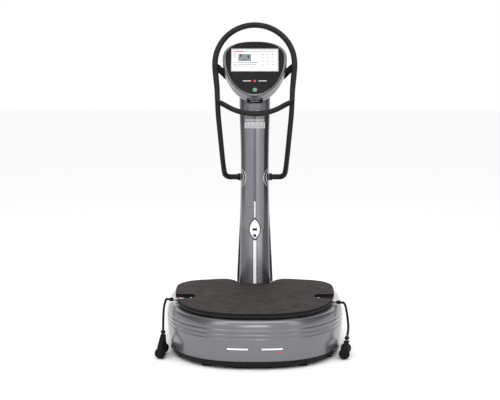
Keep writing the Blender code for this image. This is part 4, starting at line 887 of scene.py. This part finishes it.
def adjuster_line(side, sign):
    anchor = Vector((sign * ANCHOR_X, ANCHOR_Y, ANCHOR_Z))
    outer = Vector(ADJUSTER_OUTER[side])
    along = (outer - anchor).normalized()
    return anchor, anchor + along * ADJUSTER_INNER, outer, along


def build_adjuster(side, sign):
    inner, outer, along = adjuster_line(side, sign)[1:]
    name = "adjuster_" + side
    shaft = ((0.0, 0.0042), (0.012, 0.005), (0.03, 0.0066), (0.1, 0.0068), (0.11, 0.006), (0.14, 0.006),
             (0.15, 0.0069), (0.44, 0.007), (0.455, 0.0064), (0.545, 0.0064), (0.56, 0.007), (0.79, 0.0071))
    ring = ((0.462, 0.0072), (0.472, 0.008), (0.53, 0.008), (0.54, 0.0072))
    sleeve = ((0.792, 0.007), (0.81, 0.0085), (0.835, 0.0085), (0.845, 0.0078), (0.865, 0.0078),
              (0.875, 0.0085), (0.94, 0.0085), (0.985, 0.0078), (1.0, 0.0066))
    piece("adjuster_shaft_" + side, turned_bm(inner, outer, shaft, 36), name, SILVER)
    detail("adjuster_ring_" + side, turned_bm(inner, outer, ring, 36), name, RED)
    detail("adjuster_sleeve_" + side, turned_bm(inner, outer, sleeve, 36), name, BLACK_PLASTIC)
    up = (Vector((0, 0, 1)) - along * along.z).normalized() * 0.007
    clip = tube_bm([inner.lerp(outer, share) + up for share in (0.17, 0.43)], 0.001, 12)
    detail("adjuster_clip_" + side, clip, name, CHROME)


def cord_points(side, sign, per_span):
    """The cord's route, which leaves the adjuster straight and then bends down."""
    outer, along = adjuster_line(side, sign)[2:]
    start, bend, straight_end = (outer + along * (GAP + CORD_EXIT * share) for share in (0, 0.25, 1))
    return [start] + spline((bend, straight_end) + CORD_ROUTE[side], per_span)


def braid_bm(path, radius, sides=24, lay=0.0105, depth=0.0006):
    """A round cord with three strands twisted into its surface."""
    travelled = [0.0]
    for a, b in zip(path, path[1:]):
        travelled.append(travelled[-1] + (b - a).length)

    def section(i, _):
        turn = travelled[i] / lay * 2 * pi
        share = 1.0 if 2 < i < len(path) - 3 else 0.4
        result = []
        for k in range(sides):
            a = 2 * pi * k / sides
            r = radius - depth * share * (0.5 - 0.5 * cos(3 * (a - turn / 3)))
            result.append((r * cos(a), r * sin(a)))
        return result
    return loft_bm(sweep_rings(path, section))


def strap_path(front, rear, top, per_span):
    """The webbing's loop: up round one end of the grip, over the stopper's foot and down to the other end."""
    along, up = (rear - front).normalized(), Vector((0, 0, 1))
    near, far = front - along * STRAP_THICKNESS, rear + along * STRAP_THICKNESS
    rise, low, lift = up * GRIP_RADIUS, up * -0.0135, up * 0.008
    crown, spread, drop = top - up * STRAP_THICKNESS, along * 0.01, up * 0.0015
    return spline([near + low, near + rise, near + rise + lift + along * 0.005, crown - spread - drop, crown,
                   crown + spread - drop, far + rise + lift - along * 0.005, far + rise, far + low], per_span)


def webbing_bm(path, width_axis, width, thickness, across_count=17):
    """Flat webbing: thicker selvedges and a fine rib across, inside the strap's own thickness."""
    rings = []
    for i, point in enumerate(path):
        along = (path[min(i + 1, len(path) - 1)] - path[max(i - 1, 0)]).normalized()
        across = (width_axis - along * width_axis.dot(along)).normalized()
        normal = along.cross(across).normalized()
        rib, top, bottom = 0.00025 if i % 2 else 0.0, [], []
        for s in vary(-1.0, 1.0, across_count):
            selvedge = 0.0 if abs(s) > 0.86 else 0.00022
            lift = normal * (thickness * 0.28 if abs(s) == 1.0 else thickness / 2 - rib - selvedge)
            middle = point + across * (s * width / 2)
            top.append(middle + lift)
            bottom.append(middle - lift)
        rings.append(top + bottom[::-1])
    return loft_bm(rings)


def grip_profile():
    """Turned outline of the grip: two flanged ends and a row of soft ribs between them."""
    end = [(0.0, 0.015), (0.004, 0.02), (0.006, 0.0222), (0.01, 0.0235), (0.022, 0.0243),
           (0.035, GRIP_RADIUS), (0.07, GRIP_RADIUS), (0.085, 0.024), (0.1, 0.0205)]
    ribs = []
    for k in range(12):
        at = 0.115 + 0.065 * k
        swell = 0.0012 * sin(pi * (at - 0.1) / 0.8)
        low, high = 0.02 + swell, 0.0212 + swell * 0.3
        ribs += [(at, low), (at + 0.01, high), (at + 0.042, high), (at + 0.052, low)]
    return end + ribs + [(1 - at, radius) for at, radius in reversed(end)]


def build_handle(side, sign):
    path = cord_points(side, sign, 12)
    obj = piece("cord_line_" + side, braid_bm(path, CORD_RADIUS), "cord_" + side, WEBBING)
    before, end = cord_points(side, sign, 3)[-2:]
    r, heading = STOPPER_RADIUS, (end - before).normalized()
    centre = end + heading * (r + GAP)
    ball = [(0.5 - 0.5 * cos(a), max(0.0012, r * sin(a))) for a in vary(0.0, pi, 25)]
    ball = [(at, radius - (0.0007 if 0.44 < at < 0.56 else 0.0)) for at, radius in ball]
    ball = turned_bm(centre - heading * r, centre + heading * r, ball)
    stopper = piece("stopper_ball_" + side, ball, "stopper_" + side, BLACK_PLASTIC)
    front, rear = (Vector((x, y, GRIP_Z)) for x, y in GRIP_ENDS[side])
    grip = piece("grip_rubber_" + side, turned_bm(front, rear, grip_profile(), 48), "grip_" + side, RUBBER)
    route = strap_path(front, rear, centre - Vector((0, 0, r + GAP)), 14)
    along = (rear - front).normalized()
    webbing = webbing_bm(route, Vector((along.y, -along.x, 0)), STRAP_WIDTH, STRAP_THICKNESS)
    strap = piece("strap_webbing_" + side, webbing, "strap_" + side, WEBBING)


# ------ chassis, inside and small parts

def bolt_bm(centre, axis, radius=0.004, height=0.0022):
    """A low round screw head with a round socket."""
    centre, axis = Vector(centre), Vector(axis).normalized()
    base = centre - axis * 0.0003
    shares = ((0.0, 1.0), (0.55, 1.0), (0.85, 0.93), (1.0, 0.72), (1.0, 0.45), (0.45, 0.45))
    return turned_bm(base, centre + axis * height, [(at, radius * share) for at, share in shares], 24)


def build_small_parts():
    for index, (x, z) in enumerate(((-0.026, 0.0985), (-0.018, 0.1055), (-0.01, 0.0985))):
        pin = box_bm((x - 0.001, 0.4895, z - 0.0024), (x + 0.001, 0.504, z + 0.0024), 0.0004)
        detail("inlet_pin_%d" % index, pin, "power_inlet", CHROME)
    fin = ((0, 0.0452), (0.2, 0.0462), (0.8, 0.0462), (1, 0.0452))
    for place, y in (("front", -0.15), ("rear", 0.03)):
        fins = [turned_bm((x, y, MOTOR_Z), (x + 0.003, y, MOTOR_Z), fin, 48) for x in vary(-0.062, 0.059, 12)]
        detail("motor_fins_" + place, merge_bms(*fins), "motor_" + place, BLACK_COAT)
    low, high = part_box("drive_unit")
    near, far, foot, top = low.y + 0.004, high.y - 0.004, high.z - 0.0002, high.z + 0.003
    ribs = [box_bm((x - 0.0008, near, foot), (x + 0.0008, far, top), 0.0003)
            for x in vary(low.x + 0.006, high.x - 0.006, 11)]
    detail("drive_ribs", merge_bms(*ribs), "drive_unit", STEEL)
    chips = [head_box((x - w, v - h, 0.0284), (x + w, v + h, 0.0302), 0.0002) for x, v, w, h in BOARD_CHIPS]
    detail("board_chips", merge_bms(*chips), "display_board", BLACK_PLASTIC)
    bolts = [bolt_bm(head_point(x, v, HEAD_DEPTH + 0.008), HEAD_BACK)
             for x in (-0.04, 0.04) for v in (-0.044, -0.002)]
    detail("bracket_bolts", merge_bms(*bolts), "head_bracket", STEEL)
    for side, sign in SIDES:
        screws = [bolt_bm(head_point(sign * 0.108, v, 0.0907), HEAD_BACK, 0.0045) for v in (0.01, -0.012)]
        detail("bar_bolts_" + side, merge_bms(*screws), "handlebar_bracket_" + side, STEEL)


def dress_frame():
    """Give every CAD node that stays in view its finish and soft edges."""
    feet = (name for name in NODES if name.startswith("foot"))
    edges = {0.0003: ("display_board", "pad_key"), 0.0004: ("screen_frame",),
             0.0005: ("port_socket", "start_button"),
             0.0006: ("power_inlet", "motor_cradle", "head_bracket", "pad_button"),
             0.0008: ("undertray", "neck_cover", "column_post", *feet), 0.001: ("base_frame", "drive_unit")}
    widths = {name: width for width, names in edges.items() for name in names}
    for name, node in NODES.items():
        if node.hide_render:
            continue
        material = (SILVER if name == "screen_frame" else FINISHES[SLOTS[name]]).material
        node.data.materials.clear()
        node.data.materials.append(material)
        for polygon in node.data.polygons:
            polygon.material_index = 0
        if name in widths and not node.modifiers:
            bevelled(node, widths[name], 2, 45)


# ------ stage

def emitter(name, location, target, size, power):
    light = bpy.data.lights.new(name, "AREA")
    light.shape, light.energy = "RECTANGLE", power
    light.size, light.size_y = size
    obj = link_object(name, light)
    obj.location = location
    obj.rotation_euler = (Vector(target) - obj.location).to_track_quat("-Z", "Y").to_euler()
    obj.visible_camera = False


def stage_panel(name, corners, colour, roughness, specular):
    """A flat panel of the set."""
    bm = bmesh.new()
    bm.faces.new([bm.verts.new(corner) for corner in corners])
    mesh = mesh_of(bm, name)
    mesh.materials.append(Finish(name, colour, roughness).set(Specular_IOR_Level=specular).material)
    obj = link_object(name, mesh)
    return obj


def build_stage():
    r, z = 30, -0.0005
    stage_panel("floor", ((-r, -r, z), (r, -r, z), (r, r, z), (-r, r, z)), (0.955, 0.955, 0.955), 0.8, 0.2)
    world = bpy.data.worlds.new("studio")
    bpy.context.scene.world = world
    world.use_nodes = True
    background = world.node_tree.nodes["Background"].inputs
    background["Color"].default_value = (1, 1, 1, 1)
    background["Strength"].default_value = 1.0
    emitter("overhead", (0.0, -1.75, 3.4), (0, 0, 0.3), (3.0, 0.9), 34)
    emitter("strip", (0.0, -3.1, 1.45), (0, -0.4, 0.2), (0.9, 0.14), 9)
    emitter("key", (-2.0, -2.6, 2.6), (0, 0, 0.5), (1.0, 2.0), 16)
    emitter("fill", (2.2, -2.2, 2.4), (0, 0, 0.6), (0.8, 2.2), 10)
    emitter("back", (0.0, 2.6, 3.0), (0, 0.1, 0.6), (2.4, 1.6), 18)
    # two black panels beside the object that only show as dark edges in glossy reflections
    front, rear, low, high = -1.1, 0.75, 0.5, 2.1
    for name, x in (("flag_l", -1.3), ("flag_r", 1.3)):
        corners = ((x, front, low), (x, rear, low), (x, rear, high), (x, front, high))
        obj = stage_panel(name, corners, (0.01, 0.01, 0.012), 1.0, 0.5)
        obj.visible_camera = obj.visible_diffuse = obj.visible_shadow = False


def build_camera():
    camera = bpy.data.cameras.new("camera")
    camera.lens = 75.8
    camera.sensor_width = 36
    camera.shift_x = -0.0096
    obj = link_object("camera", camera)
    obj.location = (0, -5.019, 1.313)
    obj.rotation_euler = (radians(90 - 7.003), 0, 0)
    bpy.context.scene.camera = obj


build_camera()
build_housing()
build_platform()
build_column()
build_head()
build_pad()
build_handlebar()
for each_side, each_sign in SIDES:
    build_adjuster(each_side, each_sign)
    build_handle(each_side, each_sign)
build_small_parts()
dress_frame()
build_stage()
bpy.context.scene.view_settings.view_transform = "Standard"
